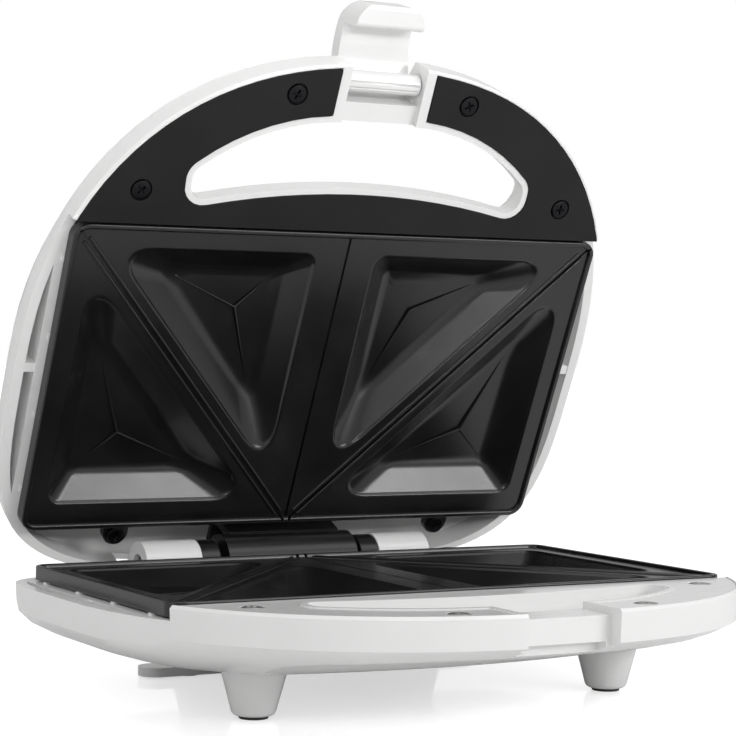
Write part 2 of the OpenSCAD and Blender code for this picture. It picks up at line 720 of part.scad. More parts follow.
module thermostat() {
    tag = [4, 0.8, 4.5];
    color("ivory") base_place() translate([0, -plate_d / 2, -deck_drop - plate_t - thermostat_h - seat_gap]) {
        cylinder(r = thermostat_r, h = thermostat_h, $fn = 40);
        for (s = [-1, 1]) translate([-tag[0] / 2, s * (thermostat_r - 1.5) - tag[1] / 2, 0.5 - tag[2]])
            cube(tag);
    }
}

module thermal_fuse() {
    color("khaki") base_place() translate([0, -plate_d + 20, -deck_drop - plate_t - 2.2])
        rotate([-90, 0, 0]) {
            cylinder(r = 2, h = 14, $fn = 32);
            translate([0, 0, -4]) cylinder(r = 0.5, h = 22, $fn = 16);
        }
}

module terminal_block() {
    pitch = 9;
    block = [12, 3 * pitch + 1, 7];
    color("whitesmoke") base_place()
        translate([heater_half + shield_reach + terminal_gap, heater_y - pitch, -base_deep + wall + 0.2])
            difference() {
                cube(block);
                for (i = [0 : 2]) translate([block[0] / 2, pitch * (i + 0.5) + 0.5, 3])
                    cylinder(r = 2, h = 10, $fn = 24);
            }
}

module cord_inlet() {
    color("dimgray") base_place() translate([inlet_x, base_rear, -base_deep / 2 - 1]) rotate([-90, 0, 0])
        difference() {
            union() {
                translate([0, 0, -7]) cylinder(r = inlet_r + 1.7, h = 8, $fn = 40);
                translate([0, 0, 0.1]) cylinder(r = inlet_r + 3, h = 1.8, $fn = 40);
            }
            translate([0, 0, -10]) cylinder(r = inlet_r, h = 20, $fn = 40);
        }
}

module foot_pads() {
    color("#303030") base_place()
        at_pads() cylinder(r = pad_r, h = pad_h + pad_sink - eps, $fn = 40);
}

// Black collars set into the hinge blocks; the hinge pins turn in them.
module hinge_collars() {
    color("#222222") base_place() for (s = [0, 1]) mirror([s, 0, 0]) difference() {
        union() {
            along_hinge(collar_x, block_x - eps, block_r - 0.4);
            along_hinge(block_x - 1, block_end - 2, sleeve_r, 48);
        }
        along_hinge(collar_x - 1, block_end + 1, pin_r + eps, 48);
    }
}

// ---------- lid ----------

module lid_shell() {
    notch_x = block_end + 2.4;
    color("white") {
        lid_place() difference() {
            union() {
                half_shell(lid_rear, lid_rear_power, lid_deep, lid_cover_drop);
                // posts for the barrel's bracket
                intersection() {
                    outer_skin(lid_rear, lid_rear_power, lid_deep);
                    for (s = [-1, 1]) translate([s * bracket_x, bracket_y, -lid_deep])
                        cylinder(r = 4, h = lid_deep + plate_gap - bracket_z - 2.2, $fn = 32);
                }
            }
            // room for the hinge blocks and the barrel
            box([-notch_x, notch_x], [1.4, lid_rear + 10], [-14.5, 5]);
            // latch slot between two lugs, and the recess behind it
            box([-slot_half, slot_half], [-edge_y - 1, -pivot_y + latch_barrel_r + latch_room],
                [-lid_deep, 1]);
            box([-slot_half, slot_half], [-edge_y - 1, -edge_y + bar_w + 4], [-recess_deep, 1]);
            translate([-lug_half - 1, -pivot_y, -pivot_deep]) rotate([0, 90, 0])
                cylinder(r = screw_r + eps, h = 2 * lug_half + 2, $fn = 32);
            for (s = [-1, 1]) translate([s * lens_x, -plate_d + lens_back, -lid_deep - 1])
                cylinder(r = lens_r + eps, h = 8, $fn = 32);
            for (s = [-1, 1]) translate([s * bracket_x, bracket_y, -24])
                cylinder(r = screw_r + eps, h = 12, $fn = 24);
        }
    }
}

module lid_handle_inlay() { color("#1c1c1c") lid_place() handle_cover(lid_cover_drop); }
module lid_inlay_screws() { color("dimgray") lid_place() cover_screw_set(lid_cover_drop); }
module lid_plate() { color("#1d1d1f") lid_place() cooking_plate(); }
module lid_plate_screws() { color("dimgray") lid_place() plate_screw_set(); }
module lid_heater() { color("silver") lid_place() heater(); }
module lid_heater_clamps() { color("lightgray") lid_place() heater_clamps(); }
module lid_heat_shield() { color("gainsboro") lid_place() heat_shield(); }

module lens(side) {
    lid_place() translate([side * lens_x, -plate_d + lens_back, -lid_deep - 0.7]) {
        cylinder(r = lens_r, h = 3.6, $fn = 32);
        translate([0, 0, wall + 0.8]) cylinder(r = lens_r + 1, h = 1.2, $fn = 32);
    }
}
module power_lens() { color("red") lens(-1); }
module ready_lens() { color("limegreen") lens(1); }

module lamp_board() {
    color("peru") lid_place() translate([-lens_x - 6, -plate_d + lens_back - 5, -lid_deep + wall + 2.2])
        cube([2 * lens_x + 12, 10, 1.2]);
}

// Middle barrel with its bracket; the wires to the lid run through it.
module hinge_barrel() {
    color("#202020") lid_turn() difference() {
        union() {
            along_hinge(-barrel_half, barrel_half, barrel_r);
            box([-24, 24], [3, 6], [0, bracket_z + 1]);
            box([-24, 24], [3, 15.5], [bracket_z, bracket_z + 2.2]);
        }
        along_hinge(-barrel_half + pin_in, barrel_half - pin_in, barrel_r - 3);
        along_hinge(-barrel_half - 1, barrel_half + 1, pin_r, 48);
        for (s = [-1, 1]) translate([s * bracket_x, bracket_y, bracket_z - 2])
            cylinder(r = screw_r + 0.2, h = 8, $fn = 24);
    }
}

module hinge_pins() {
    color("silver") lid_turn() for (s = [0, 1]) mirror([s, 0, 0])
        along_hinge(barrel_half - pin_in + 0.5, block_end - 0.5, pin_r - eps / 2, 48);
}

module barrel_screws() {
    color("dimgray") lid_turn() for (s = [-1, 1])
        translate([s * bracket_x, bracket_y, bracket_z - head_h + 0.6]) mirror([0, 0, 1]) screw();
}

module latch_pin() {
    color("silver") lid_place() translate([-lug_half - 0.8, -pivot_y, -pivot_deep]) rotate([0, 90, 0])
        cylinder(r = screw_r, h = 2 * lug_half + 1.6, $fn = 32);
}

// ---------- latch ----------

// Side view of the latch as it hangs when shut; x is the distance from the pivot
// towards the handle's edge and y is the height above the pivot.
latch_front = pivot_edge - 4.3 + latch_arm;
hook_top = -(pivot_deep + plate_gap + band_h + 0.8);
latch_low = hook_top - hook_t;

module latch_profile() {
    high = latch_barrel_r - 0.9;
    half = (high - latch_low) / 2;
    r = (half * half + latch_bow * latch_bow) / (2 * latch_bow);
    inner = latch_front - latch_arm - hook_len;
    difference() {
        union() {
            circle(r = latch_barrel_r, $fn = 48);
            translate([0, latch_barrel_r - latch_arm]) square([latch_front - 1.5, latch_arm - 0.1]);
            // bowed arm
            intersection() {
                translate([latch_front + latch_bow - r, high - half]) difference() {
                    circle(r = r, $fn = 160);
                    circle(r = r - latch_arm, $fn = 160);
                }
                translate([0.5, latch_low]) square([20, 2 * half]);
            }
            // hook with a rounded tip
            translate([inner + 2, latch_low]) square([latch_front - inner - 4, hook_t]);
            translate([inner + 2, hook_top - 2]) circle(r = 2, $fn = 32);
            translate([inner + 2, latch_low + 2]) circle(r = 2, $fn = 32);
            translate([inner, latch_low + 2]) square([4, hook_t - 4]);
        }
        circle(r = screw_r + eps, $fn = 32);
    }
}

// Front view of the latch, with its lower corners rounded; it ends just below the hook.
module latch_face() {
    r = latch_corner;
    x = hook_w / 2 - r;
    y = latch_low - 0.2 + r;
    polygon(concat([[-latch_w / 2, 20], [-latch_w / 2, 0]],
                   arc([-x, y], r, 180, 270, 10), [[-x, y - r]],
                   arc([x, y], r, 270, 360, 10), [[x + r, y]],
                   [[latch_w / 2, 0], [latch_w / 2, 20]]));
}

module latch() {
    color("white") lid_turn() translate([0, -pivot_y, pivot_deep + plate_gap]) rotate([-latch_open, 0, 0])
        intersection() {
            translate([-latch_w / 2, 0, 0]) rotate([0, 0, -90]) rotate([90, 0, 0]) mirror([0, 0, 1])
                linear_extrude(latch_w) latch_profile();
            rotate([90, 0, 0]) translate([0, 0, -20]) linear_extrude(60) latch_face();
        }
}

base_shell();
base_handle_cover();
base_cover_screws();
base_plate();
base_plate_screws();
base_heater();
base_heater_clamps();
base_heat_shield();
thermostat();
thermal_fuse();
terminal_block();
cord_inlet();
foot_pads();
hinge_collars();
lid_shell();
lid_handle_inlay();
lid_inlay_screws();
lid_plate();
lid_plate_screws();
lid_heater();
lid_heater_clamps();
lid_heat_shield();
power_lens();
ready_lens();
lamp_board();
hinge_barrel();
hinge_pins();
barrel_screws();
latch_pin();
latch();
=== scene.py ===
import logging
import math
from collections.abc import Callable, Iterator, Sequence
from contextlib import contextmanager
from dataclasses import dataclass, field
from enum import Enum
from typing import Any, Union

import bmesh
import bpy
from mathutils import Matrix, Vector


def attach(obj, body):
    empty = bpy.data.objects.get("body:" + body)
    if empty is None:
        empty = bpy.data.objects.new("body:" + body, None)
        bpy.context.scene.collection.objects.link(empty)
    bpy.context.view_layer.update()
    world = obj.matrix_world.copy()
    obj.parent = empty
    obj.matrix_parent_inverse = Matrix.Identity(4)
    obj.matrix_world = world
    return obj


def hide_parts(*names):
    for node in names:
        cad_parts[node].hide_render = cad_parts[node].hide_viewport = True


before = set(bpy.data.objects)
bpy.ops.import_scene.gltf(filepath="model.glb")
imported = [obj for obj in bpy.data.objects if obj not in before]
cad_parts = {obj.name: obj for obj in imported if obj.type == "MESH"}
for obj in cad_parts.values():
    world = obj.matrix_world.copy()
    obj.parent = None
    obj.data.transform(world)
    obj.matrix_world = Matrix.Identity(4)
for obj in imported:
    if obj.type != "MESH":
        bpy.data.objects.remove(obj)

LOG = logging.getLogger("sandwich_toaster")
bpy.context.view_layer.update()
MM = 0.001

WELD = 2e-6
MIDDLE = 0.5
FACING = 0.9
OVER_TOP = -0.01

Number = Union[float, "Wire"]
Stops = Sequence[tuple[float, float]]


# ---------------------------------------------------------------- shader maths


class Wire:
    """One output of a shader node; arithmetic on it adds Math nodes."""

    def __init__(self, sheet: "Sheet", socket: bpy.types.NodeSocket) -> None:
        """Keeps the sheet that the socket belongs to.

        Args:
            sheet: the material that is being drawn up.
            socket: the output socket.
        """
        self.sheet = sheet
        self.socket = socket

    def _math(self, kind: str, first: Number, second: Number) -> "Wire":
        """Adds one Math node.

        Args:
            kind: the node's operation.
            first: its first value.
            second: its second value.

        Returns:
            The node's output.
        """
        return self.sheet.node("ShaderNodeMath", {"operation": kind}, {0: first, 1: second})

    def __add__(self, other: Number) -> "Wire":
        """This value plus another."""
        return self._math("ADD", self, other)

    def __radd__(self, other: Number) -> "Wire":
        """Another value plus this one."""
        return self._math("ADD", other, self)

    def __sub__(self, other: Number) -> "Wire":
        """This value less another."""
        return self._math("SUBTRACT", self, other)

    def __rsub__(self, other: Number) -> "Wire":
        """Another value less this one."""
        return self._math("SUBTRACT", other, self)

    def __mul__(self, other: Number) -> "Wire":
        """This value times another."""
        return self._math("MULTIPLY", self, other)

    def __rmul__(self, other: Number) -> "Wire":
        """Another value times this one."""
        return self._math("MULTIPLY", other, self)


class Sheet:
    """A material under construction, with one method that adds any node."""

    def __init__(self, name: str) -> None:
        """Makes an empty node material.

        Args:
            name: the material's name.
        """
        self.material = bpy.data.materials.new(name)
        self.material.use_nodes = True
        self.tree = self.material.node_tree
        self.tree.nodes.clear()

    def node(
        self,
        kind: str,
        settings: dict[str, Any] | None = None,
        inputs: dict[int | str, Any] | None = None,
        output: int | str = 0,
    ) -> Wire:
        """Adds a node, sets it up and wires it.

        Args:
            kind: the node's type.
            settings: its properties; "stops" gives a colour ramp's (place, grey) pairs.
            inputs: values or wires by socket number or name.
            output: the socket that is handed back.

        Returns:
            The node's output.
        """
        made = self.tree.nodes.new(kind)
        for name, value in (settings or {}).items():
            if name == "stops":
                self._stops(made.color_ramp, value)
            else:
                setattr(made, name, value)
        for name, value in (inputs or {}).items():
            if isinstance(value, Wire):
                self.tree.links.new(value.socket, made.inputs[name])
            else:
                made.inputs[name].default_value = value
        return Wire(self, made.outputs[output]) if made.outputs else Wire(self, None)

    @staticmethod
    def _stops(ramp: bpy.types.ColorRamp, stops: Stops) -> None:
        """Gives a colour ramp its grey stops.

        Args:
            ramp: the ramp.
            stops: (place, grey) pairs, from left to right.
        """
        while len(ramp.elements) < len(stops):
            ramp.elements.new(MIDDLE)
        for element, (place, grey) in zip(ramp.elements, stops):
            element.position = place
            element.color = (grey, grey, grey, 1)

    def place(self) -> Wire:
        """The point of the surface on the finished piece, in metres."""
        return self.node("ShaderNodeTexCoord", output="Object")

    def noise(self, size: float, detail: float = 2.0, place: Wire | None = None) -> Wire:
        """Soft random value between 0 and 1.

        Args:
            size: size of its cells in metres.
            detail: octaves of finer noise.
            place: where it is read, the surface's own place if left out.

        Returns:
            The value.
        """
        return self.node("ShaderNodeTexNoise", {"noise_dimensions": "3D"}, {
            "Vector": place or self.place(), "Scale": 1 / size, "Detail": detail,
            "Roughness": 0.55,
        })

    def ramp(self, value: Wire, stops: Stops) -> Wire:
        """A value read through a grey ramp."""
        return self.node("ShaderNodeValToRGB", {"stops": stops}, {"Fac": value})

    def blend(self, share: Number, first: Any, second: Any) -> Wire:
        """A colour between two colours.

        Args:
            share: 0 for the first, 1 for the second.
            first: colour or wire.
            second: colour or wire.

        Returns:
            The mixed colour.
        """
        return self.node(
            "ShaderNodeMix", {"data_type": "RGBA"}, {0: share, 6: first, 7: second}, output=2
        )

    def bump(self, height: Wire, depth: float, strength: float = 1.0) -> Wire:
        """Normal of a bumpy surface.

        Args:
            height: the bumps, from 0 to 1.
            depth: how far the surface rises between them, in metres.
            strength: share of the bumps that is used.

        Returns:
            The normal.
        """
        return self.node(
            "ShaderNodeBump", None, {"Height": height, "Distance": depth, "Strength": strength}
        )

    def surface(self, **sockets: Any) -> bpy.types.Material:
        """Ends the sheet with a Principled shader.

        Args:
            **sockets: its sockets, with _ for a space.

        Returns:
            The finished material.
        """
        named = {name.replace("_", " "): value for name, value in sockets.items()}
        shader = self.node("ShaderNodeBsdfPrincipled", None, named)
        self.node("ShaderNodeOutputMaterial", None, {"Surface": shader})
        return self.material


def grey(value: float) -> tuple[float, float, float, float]:
    """A neutral colour."""
    return (value, value, value, 1.0)


# ---------------------------------------------------------------- finishes


@dataclass(frozen=True)
class MouldedPlastic:
    """Gloss-moulded plastic with a faint flow mottle and the fine orange peel of the tool."""

    name: str
    colour: tuple[float, float, float]
    mottle: float = 0.012
    roughness: float = 0.24
    roughness_spread: float = 0.05
    peel_size: float = 0.9 * MM
    peel_depth: float = 0.004 * MM
    coat: float = 0.25

    def make(self) -> bpy.types.Material:
        """Builds the material.

        Returns:
            The material.
        """
        sheet = Sheet(self.name)
        wide = sheet.noise(34 * MM, 3)
        shade = [max(0.0, c - self.mottle) for c in self.colour]
        base = sheet.blend(sheet.ramp(wide, [(0.35, 0), (0.65, 1)]), (*shade, 1), (*self.colour, 1))
        rough = self.roughness + (sheet.noise(5 * MM, 4) - MIDDLE) * (2 * self.roughness_spread)
        peel = sheet.bump(sheet.noise(self.peel_size, 1), self.peel_depth)
        return sheet.surface(
            Base_Color=base, Roughness=rough, Normal=peel, IOR=1.49,
            Coat_Weight=self.coat, Coat_Roughness=0.12,
        )


@dataclass(frozen=True)
class SprayedCoat:
    """Sprayed non-stick coating: satin, finely pebbled, a touch paler where it lies thin."""

    name: str
    colour: float = 0.005
    pale: float = 0.010
    roughness: float = 0.24
    grain_size: float = 0.33 * MM
    grain_depth: float = 0.012 * MM

    def make(self) -> bpy.types.Material:
        """Builds the material.

        Returns:
            The material.
        """
        sheet = Sheet(self.name)
        fine = sheet.noise(self.grain_size, 3)
        cloud = sheet.noise(18 * MM, 4)
        base = sheet.blend(
            sheet.ramp(fine * 0.6 + cloud * 0.4, [(0.42, 0), (0.62, 1)]),
            grey(self.colour), grey(self.pale),
        )
        rough = self.roughness + (cloud - MIDDLE) * 0.10 + (fine - MIDDLE) * 0.12
        return sheet.surface(
            Base_Color=base, Roughness=rough, IOR=1.54,
            Normal=sheet.bump(fine, self.grain_depth),
        )


@dataclass(frozen=True)
class EtchedPlastic:
    """Plastic moulded against an etched tool, so that its skin is matt and evenly pebbled."""

    name: str
    colour: float = 0.0115
    roughness: float = 0.52
    pebble_size: float = 0.42 * MM
    pebble_depth: float = 0.02 * MM

    def make(self) -> bpy.types.Material:
        """Builds the material.

        Returns:
            The material.
        """
        sheet = Sheet(self.name)
        cells = sheet.node(
            "ShaderNodeTexVoronoi", {"feature": "SMOOTH_F1"},
            {"Vector": sheet.place(), "Scale": 1 / self.pebble_size, "Smoothness": 0.6},
        )
        cloud = sheet.noise(22 * MM, 3)
        base = sheet.blend(
            sheet.ramp(cloud, [(0.3, 0), (0.7, 1)]), grey(self.colour), grey(self.colour * 1.35)
        )
        return sheet.surface(
            Base_Color=base, Roughness=self.roughness + (cloud - MIDDLE) * 0.08, IOR=1.27,
            Normal=sheet.bump(cells, self.pebble_depth, 0.7),
        )


@dataclass(frozen=True)
class Metal:
    """Bare or blackened metal with fine drawing marks along one axis."""

    name: str
    colour: tuple[float, float, float]
    roughness: float = 0.32
    stretch: tuple[float, float, float] = (1.0, 1.0, 1.0)
    mark_size: float = 0.5 * MM
    metallic: float = 1.0

    def make(self) -> bpy.types.Material:
        """Builds the material.

        Returns:
            The material.
        """
        sheet = Sheet(self.name)
        spot = sheet.node(
            "ShaderNodeMapping", None, {"Vector": sheet.place(), "Scale": self.stretch}
        )
        marks = sheet.noise(self.mark_size, 3, spot)
        dull = [c * 0.72 for c in self.colour]
        base = sheet.blend(sheet.noise(9 * MM, 3), (*dull, 1), (*self.colour, 1))
        return sheet.surface(
            Base_Color=base, Metallic=self.metallic,
            Roughness=self.roughness + (marks - MIDDLE) * 0.22,
            Normal=sheet.bump(marks, 0.006 * MM),
        )


@dataclass(frozen=True)
class Rubber:
    """Matt rubber with dust in its pores."""

    name: str
    colour: float = 0.03

    def make(self) -> bpy.types.Material:
        """Builds the material.

        Returns:
            The material.
        """
        sheet = Sheet(self.name)
        pores = sheet.noise(0.7 * MM, 4)
        base = sheet.blend(pores, grey(self.colour), grey(self.colour * 2.2))
        return sheet.surface(
            Base_Color=base, Roughness=0.72 + (pores - MIDDLE) * 0.2,
            Normal=sheet.bump(pores, 0.05 * MM),
        )


@dataclass(frozen=True)
class LampLens:
    """Coloured clear plastic of an indicator lens, with fine flutes under its skin."""

    name: str
    colour: tuple[float, float, float]

    def make(self) -> bpy.types.Material:
        """Builds the material.

        Returns:
            The material.
        """
        sheet = Sheet(self.name)
        flutes = sheet.noise(0.8 * MM, 2)
        deep = [c * 0.45 for c in self.colour]
        base = sheet.blend(flutes, (*deep, 1), (*self.colour, 1))
        return sheet.surface(
            Base_Color=base, Roughness=0.08 + flutes * 0.06, IOR=1.5, Coat_Weight=1.0,
            Coat_Roughness=0.03, Transmission_Weight=0.25,
        )


@dataclass(frozen=True)
class Laminate:
    """Plain technical sheet or ceramic with a speckle."""

    name: str
    colour: tuple[float, float, float]
    speck: tuple[float, float, float]
    roughness: float = 0.5

    def make(self) -> bpy.types.Material:
        """Builds the material.

        Returns:
            The material.
        """
        sheet = Sheet(self.name)
        specks = sheet.noise(0.6 * MM, 5)
        base = sheet.blend(
            sheet.ramp(specks, [(0.5, 0), (0.66, 1)]), (*self.colour, 1), (*self.speck, 1)
        )
        return sheet.surface(
            Base_Color=base, Roughness=self.roughness + (specks - MIDDLE) * 0.2,
            Normal=sheet.bump(specks, 0.02 * MM),
        )


class Finish(Enum):
    """The finishes of the toaster, each made once when it is first used."""

    HOUSING = MouldedPlastic("white_gloss", (0.83, 0.83, 0.825))
    COVER = MouldedPlastic("white_polished", (0.81, 0.81, 0.805), roughness=0.20, coat=0.3)
    COAT = SprayedCoat("nonstick_coat")
    INLAY = EtchedPlastic("black_etched")
    BLACK = MouldedPlastic(
        "black_gloss", (0.006, 0.006, 0.0065), mottle=0.002, roughness=0.30, coat=0.0
    )
    SCREW = Metal("blackened_steel", (0.022, 0.022, 0.024), 0.36)
    ZINC = Metal("zinc_steel", (0.45, 0.45, 0.44), 0.42)
    ROD = Metal("drawn_steel", (0.55, 0.55, 0.54), 0.30, (0.08, 1, 1))
    SHEET = Metal("bright_sheet", (0.80, 0.80, 0.79), 0.22, (0.1, 1, 1))
    RUBBER = Rubber("dark_rubber")
    RED = LampLens("red_lens", (0.62, 0.02, 0.015))
    GREEN = LampLens("green_lens", (0.03, 0.42, 0.07))
    CERAMIC = Laminate("ceramic", (0.80, 0.77, 0.70), (0.72, 0.66, 0.55))
    TERMINAL = Laminate("terminal_plastic", (0.78, 0.78, 0.76), (0.70, 0.70, 0.68), 0.4)
    BOARD = Laminate("board", (0.42, 0.27, 0.12), (0.50, 0.35, 0.18), 0.45)

    def material(self) -> bpy.types.Material:
        """The finish as a material.

        Returns:
            The material, made on first use.
        """
        return bpy.data.materials.get(self.value.name) or self.value.make()


# ---------------------------------------------------------------- places


@dataclass(frozen=True)
class Frame:
    """Sizes that place the two halves, in millimetres, as the solids have them."""

    origin_y: float = 71.1051
    plates_z: float = 42.2
    hinge_y: float = 14.0
    hinge_drop: float = 3.9
    lid_open: float = 65.0
    plate_gap: float = 0.8

    def base(self) -> Matrix:
        """From a half's millimetres to the lower half's place in metres."""
        return Matrix.Scale(MM, 4) @ Matrix.Translation((0, self.origin_y, self.plates_z))

    def lid_turned(self) -> Matrix:
        """The way from the shut lid to the open one.

        Returns:
            The matrix from the shut lid's millimetres to the open lid's place in metres.
        """
        pivot = Matrix.Translation((0, self.hinge_y, -self.hinge_drop))
        turn = Matrix.Rotation(-math.radians(self.lid_open), 4, "X")
        return self.base() @ pivot @ turn @ pivot.inverted()

    def lid(self) -> Matrix:
        """From a half's millimetres to the upper half's place, turned over end for end in X."""
        over = Matrix.Rotation(math.pi, 4, "Y")
        return self.lid_turned() @ Matrix.Translation((0, 0, self.plate_gap)) @ over


FRAME = Frame()


# ---------------------------------------------------------------- bench


class Bench:
    """Modelling steps, done by operators as a maker does them by hand."""

    @staticmethod
    def clear() -> None:
        """Leaves edit mode and deselects everything."""
        if bpy.context.object and bpy.context.object.mode != "OBJECT":
            bpy.ops.object.mode_set(mode="OBJECT")
        bpy.ops.object.select_all(action="DESELECT")

    @classmethod
    def take(cls, piece: bpy.types.Object) -> None:
        """Makes one piece the only selected and active one.

        Args:
            piece: the piece.
        """
        cls.clear()
        piece.select_set(True)
        bpy.context.view_layer.objects.active = piece

    @classmethod
    @contextmanager
    def editing(cls, piece: bpy.types.Object, mode: str = "FACE") -> Iterator[None]:
        """Edit mode on a piece, with nothing selected at first.

        Args:
            piece: the piece.
            mode: VERT, EDGE or FACE.

        Yields:
            Nothing; the piece is in edit mode inside the block.
        """
        cls.take(piece)
        bpy.ops.object.mode_set(mode="EDIT")
        bpy.ops.mesh.select_mode(type=mode)
        bpy.ops.mesh.select_all(action="DESELECT")
        try:
            yield
        finally:
            bpy.ops.object.mode_set(mode="OBJECT")

    @staticmethod
    def pick(piece: bpy.types.Object, faces: Callable[[bmesh.types.BMFace], bool]) -> None:
        """Selects the faces of the edited piece that pass a test.

        Args:
            piece: the piece in edit mode.
            faces: the test.
        """
        mesh = bmesh.from_edit_mesh(piece.data)
        for face in mesh.faces:
            face.select_set(faces(face))
        mesh.select_flush_mode()
        bmesh.update_edit_mesh(piece.data)

    @staticmethod
    def pick_verts(piece: bpy.types.Object, places: Callable[[Vector], bool]) -> None:
        """Selects only the corners of the edited piece whose places pass a test.

        Args:
            piece: the piece in edit mode.
            places: the test.
        """
        bpy.ops.mesh.select_mode(type="VERT")
        bpy.ops.mesh.select_all(action="DESELECT")
        for vert in bmesh.from_edit_mesh(piece.data).verts:
            vert.select_set(places(vert.co))
        bmesh.update_edit_mesh(piece.data)

    @staticmethod
    def pick_edges(piece: bpy.types.Object,
                   edges: Callable[[bmesh.types.BMEdge], bool]) -> None:
        """Selects the edges of the edited piece that pass a test.

        Args:
            piece: the piece in edit mode.
            edges: the test.
        """
        mesh = bmesh.from_edit_mesh(piece.data)
        chosen = [edge for edge in mesh.edges if edges(edge)]
        for edge in chosen:
            edge.select_set(True)
        bmesh.update_edit_mesh(piece.data)

    @classmethod
    def modify(cls, piece: bpy.types.Object, kind: str, **settings: Any) -> None:
        """Adds a modifier and applies it.

        Args:
            piece: the piece.
            kind: the modifier's type.
            **settings: its settings.
        """
        cls.take(piece)
        step = piece.modifiers.new(kind.lower(), kind)
        for name, value in settings.items():
            setattr(step, name, value)
        bpy.ops.object.modifier_apply(modifier=step.name)

    @staticmethod
    def carry(piece: bpy.types.Object, place: Matrix) -> bpy.types.Object:
        """Moves the mesh itself to its place and leaves the object at the origin.

        Args:
            piece: the piece.
            place: from the piece's own space to the frame.

        Returns:
            The piece.
        """
        piece.data.transform(place @ piece.matrix_world)
        piece.matrix_world = Matrix.Identity(4)
        if place.determinant() < 0:
            piece.data.flip_normals()
        return piece

    @classmethod
    def twin(cls, piece: bpy.types.Object, name: str, place: Matrix) -> bpy.types.Object:
        """A copy with its own mesh, carried to its place.

        Args:
            piece: the finished master.
            name: the copy's name.
            place: from the master's own space to the frame.

        Returns:
            The copy.
        """
        copy = bpy.data.objects.new(name, piece.data.copy())
        bpy.context.scene.collection.objects.link(copy)
        return cls.carry(copy, place)

    @classmethod
    def join(cls, pieces: Sequence[bpy.types.Object], name: str) -> bpy.types.Object:
        """Several pieces as one.

        Args:
            pieces: the pieces; the first one stays.
            name: the new name.

        Returns:
            The joined piece.
        """
        cls.clear()
        for piece in pieces:
            piece.select_set(True)
        bpy.context.view_layer.objects.active = pieces[0]
        bpy.ops.object.join()
        pieces[0].name = name
        return pieces[0]

    @classmethod
    def bore(cls, piece: bpy.types.Object, tool: bpy.types.Object,
             kind: str = "DIFFERENCE") -> None:
        """Cuts a piece with a tool, or joins them, and deletes the tool.

        Args:
            piece: the piece.
            tool: the cutter.
            kind: the Boolean's operation.
        """
        cls.modify(piece, "BOOLEAN", operation=kind, solver="EXACT", object=tool)
        bpy.data.objects.remove(tool)

    @classmethod
    def smooth(cls, piece: bpy.types.Object, angle: float = 35.0) -> None:
        """Shades smooth across edges flatter than an angle in degrees."""
        cls.take(piece)
        bpy.ops.object.shade_smooth_by_angle(angle=math.radians(angle))

    @classmethod
    def tube(cls, radius: float, length: float, at: Sequence[float],
             sides: int = 48) -> bpy.types.Object:
        """A round bar that stands on a point, as the start of a piece.

        Args:
            radius: its radius.
            length: its length along Z.
            at: the middle of its lower end.
            sides: its corners.

        Returns:
            The bar.
        """
        cls.clear()
        bpy.ops.mesh.primitive_cylinder_add(
            vertices=sides, radius=radius, depth=length,
            location=(at[0], at[1], at[2] + length / 2),
        )
        return bpy.context.object

    @classmethod
    def block(cls, low: Sequence[float], high: Sequence[float]) -> bpy.types.Object:
        """A box between two corners, as the start of a piece.

        Args:
            low: lowest corner.
            high: highest corner.

        Returns:
            The box.
        """
        cls.clear()
        middle = [(a + b) / 2 for a, b in zip(low, high)]
        bpy.ops.mesh.primitive_cube_add(size=1, location=middle)
        made = bpy.context.object
        made.scale = [b - a for a, b in zip(low, high)]
        bpy.ops.object.transform_apply(location=True, rotation=True, scale=True)
        return made

    @classmethod
    def rod(cls, start: Sequence[float], end: Sequence[float], thick: float, thin: float,
            sides: int = 10) -> bpy.types.Object:
        """A round bar between two points, as the start of a piece.

        Args:
            start: middle of its first end.
            end: middle of its other end.
            thick: radius at the first end.
            thin: radius at the other end.
            sides: its corners.

        Returns:
            The bar.
        """
        cls.clear()
        along = Vector(end) - Vector(start)
        bpy.ops.mesh.primitive_cone_add(
            vertices=sides, radius1=thick, radius2=thin, depth=along.length,
            location=(Vector(start) + Vector(end)) / 2,
            rotation=along.to_track_quat("Z", "Y").to_euler(),
        )
        bpy.ops.object.transform_apply(location=True, rotation=True, scale=True)
        return bpy.context.object

    @classmethod
    def bar(cls, start: Sequence[float], end: Sequence[float], width: float, low: float,
            high: float) -> bpy.types.Object:
        """A flat bar between two points of the plan, as the start of a piece.

        Args:
            start: plan of its first end.
            end: plan of its other end.
            width: its width.
            low: height of its underside.
            high: height of its top.

        Returns:
            The bar.
        """
        cls.clear()
        first, last = Vector((*start, low)), Vector((*end, high))
        along = last - first
        bpy.ops.mesh.primitive_cube_add(
            size=1, location=(first + last) / 2, rotation=(0, 0, math.atan2(along.y, along.x))
        )
        made = bpy.context.object
        made.scale = (along.to_2d().length, width, high - low)
        bpy.ops.object.transform_apply(location=True, rotation=True, scale=True)
        return made

    @classmethod
    def polygon(cls, corners: Sequence[Vector], height: float) -> bpy.types.Object:
        """A flat face with given corners, as the start of a piece.

        Args:
            corners: its corners in the plan.
            height: its height.

        Returns:
            The face.
        """
        cls.clear()
        bpy.ops.mesh.primitive_circle_add(vertices=len(corners), radius=1, fill_type="NGON")
        made = bpy.context.object
        for index, corner in enumerate(corners):
            with cls.editing(made, "VERT"):
                mesh = bmesh.from_edit_mesh(made.data)
                mesh.verts.ensure_lookup_table()
                mesh.verts[index].select_set(True)
                step = Vector((*corner, height)) - mesh.verts[index].co
                bpy.ops.transform.translate(value=step)
        return made

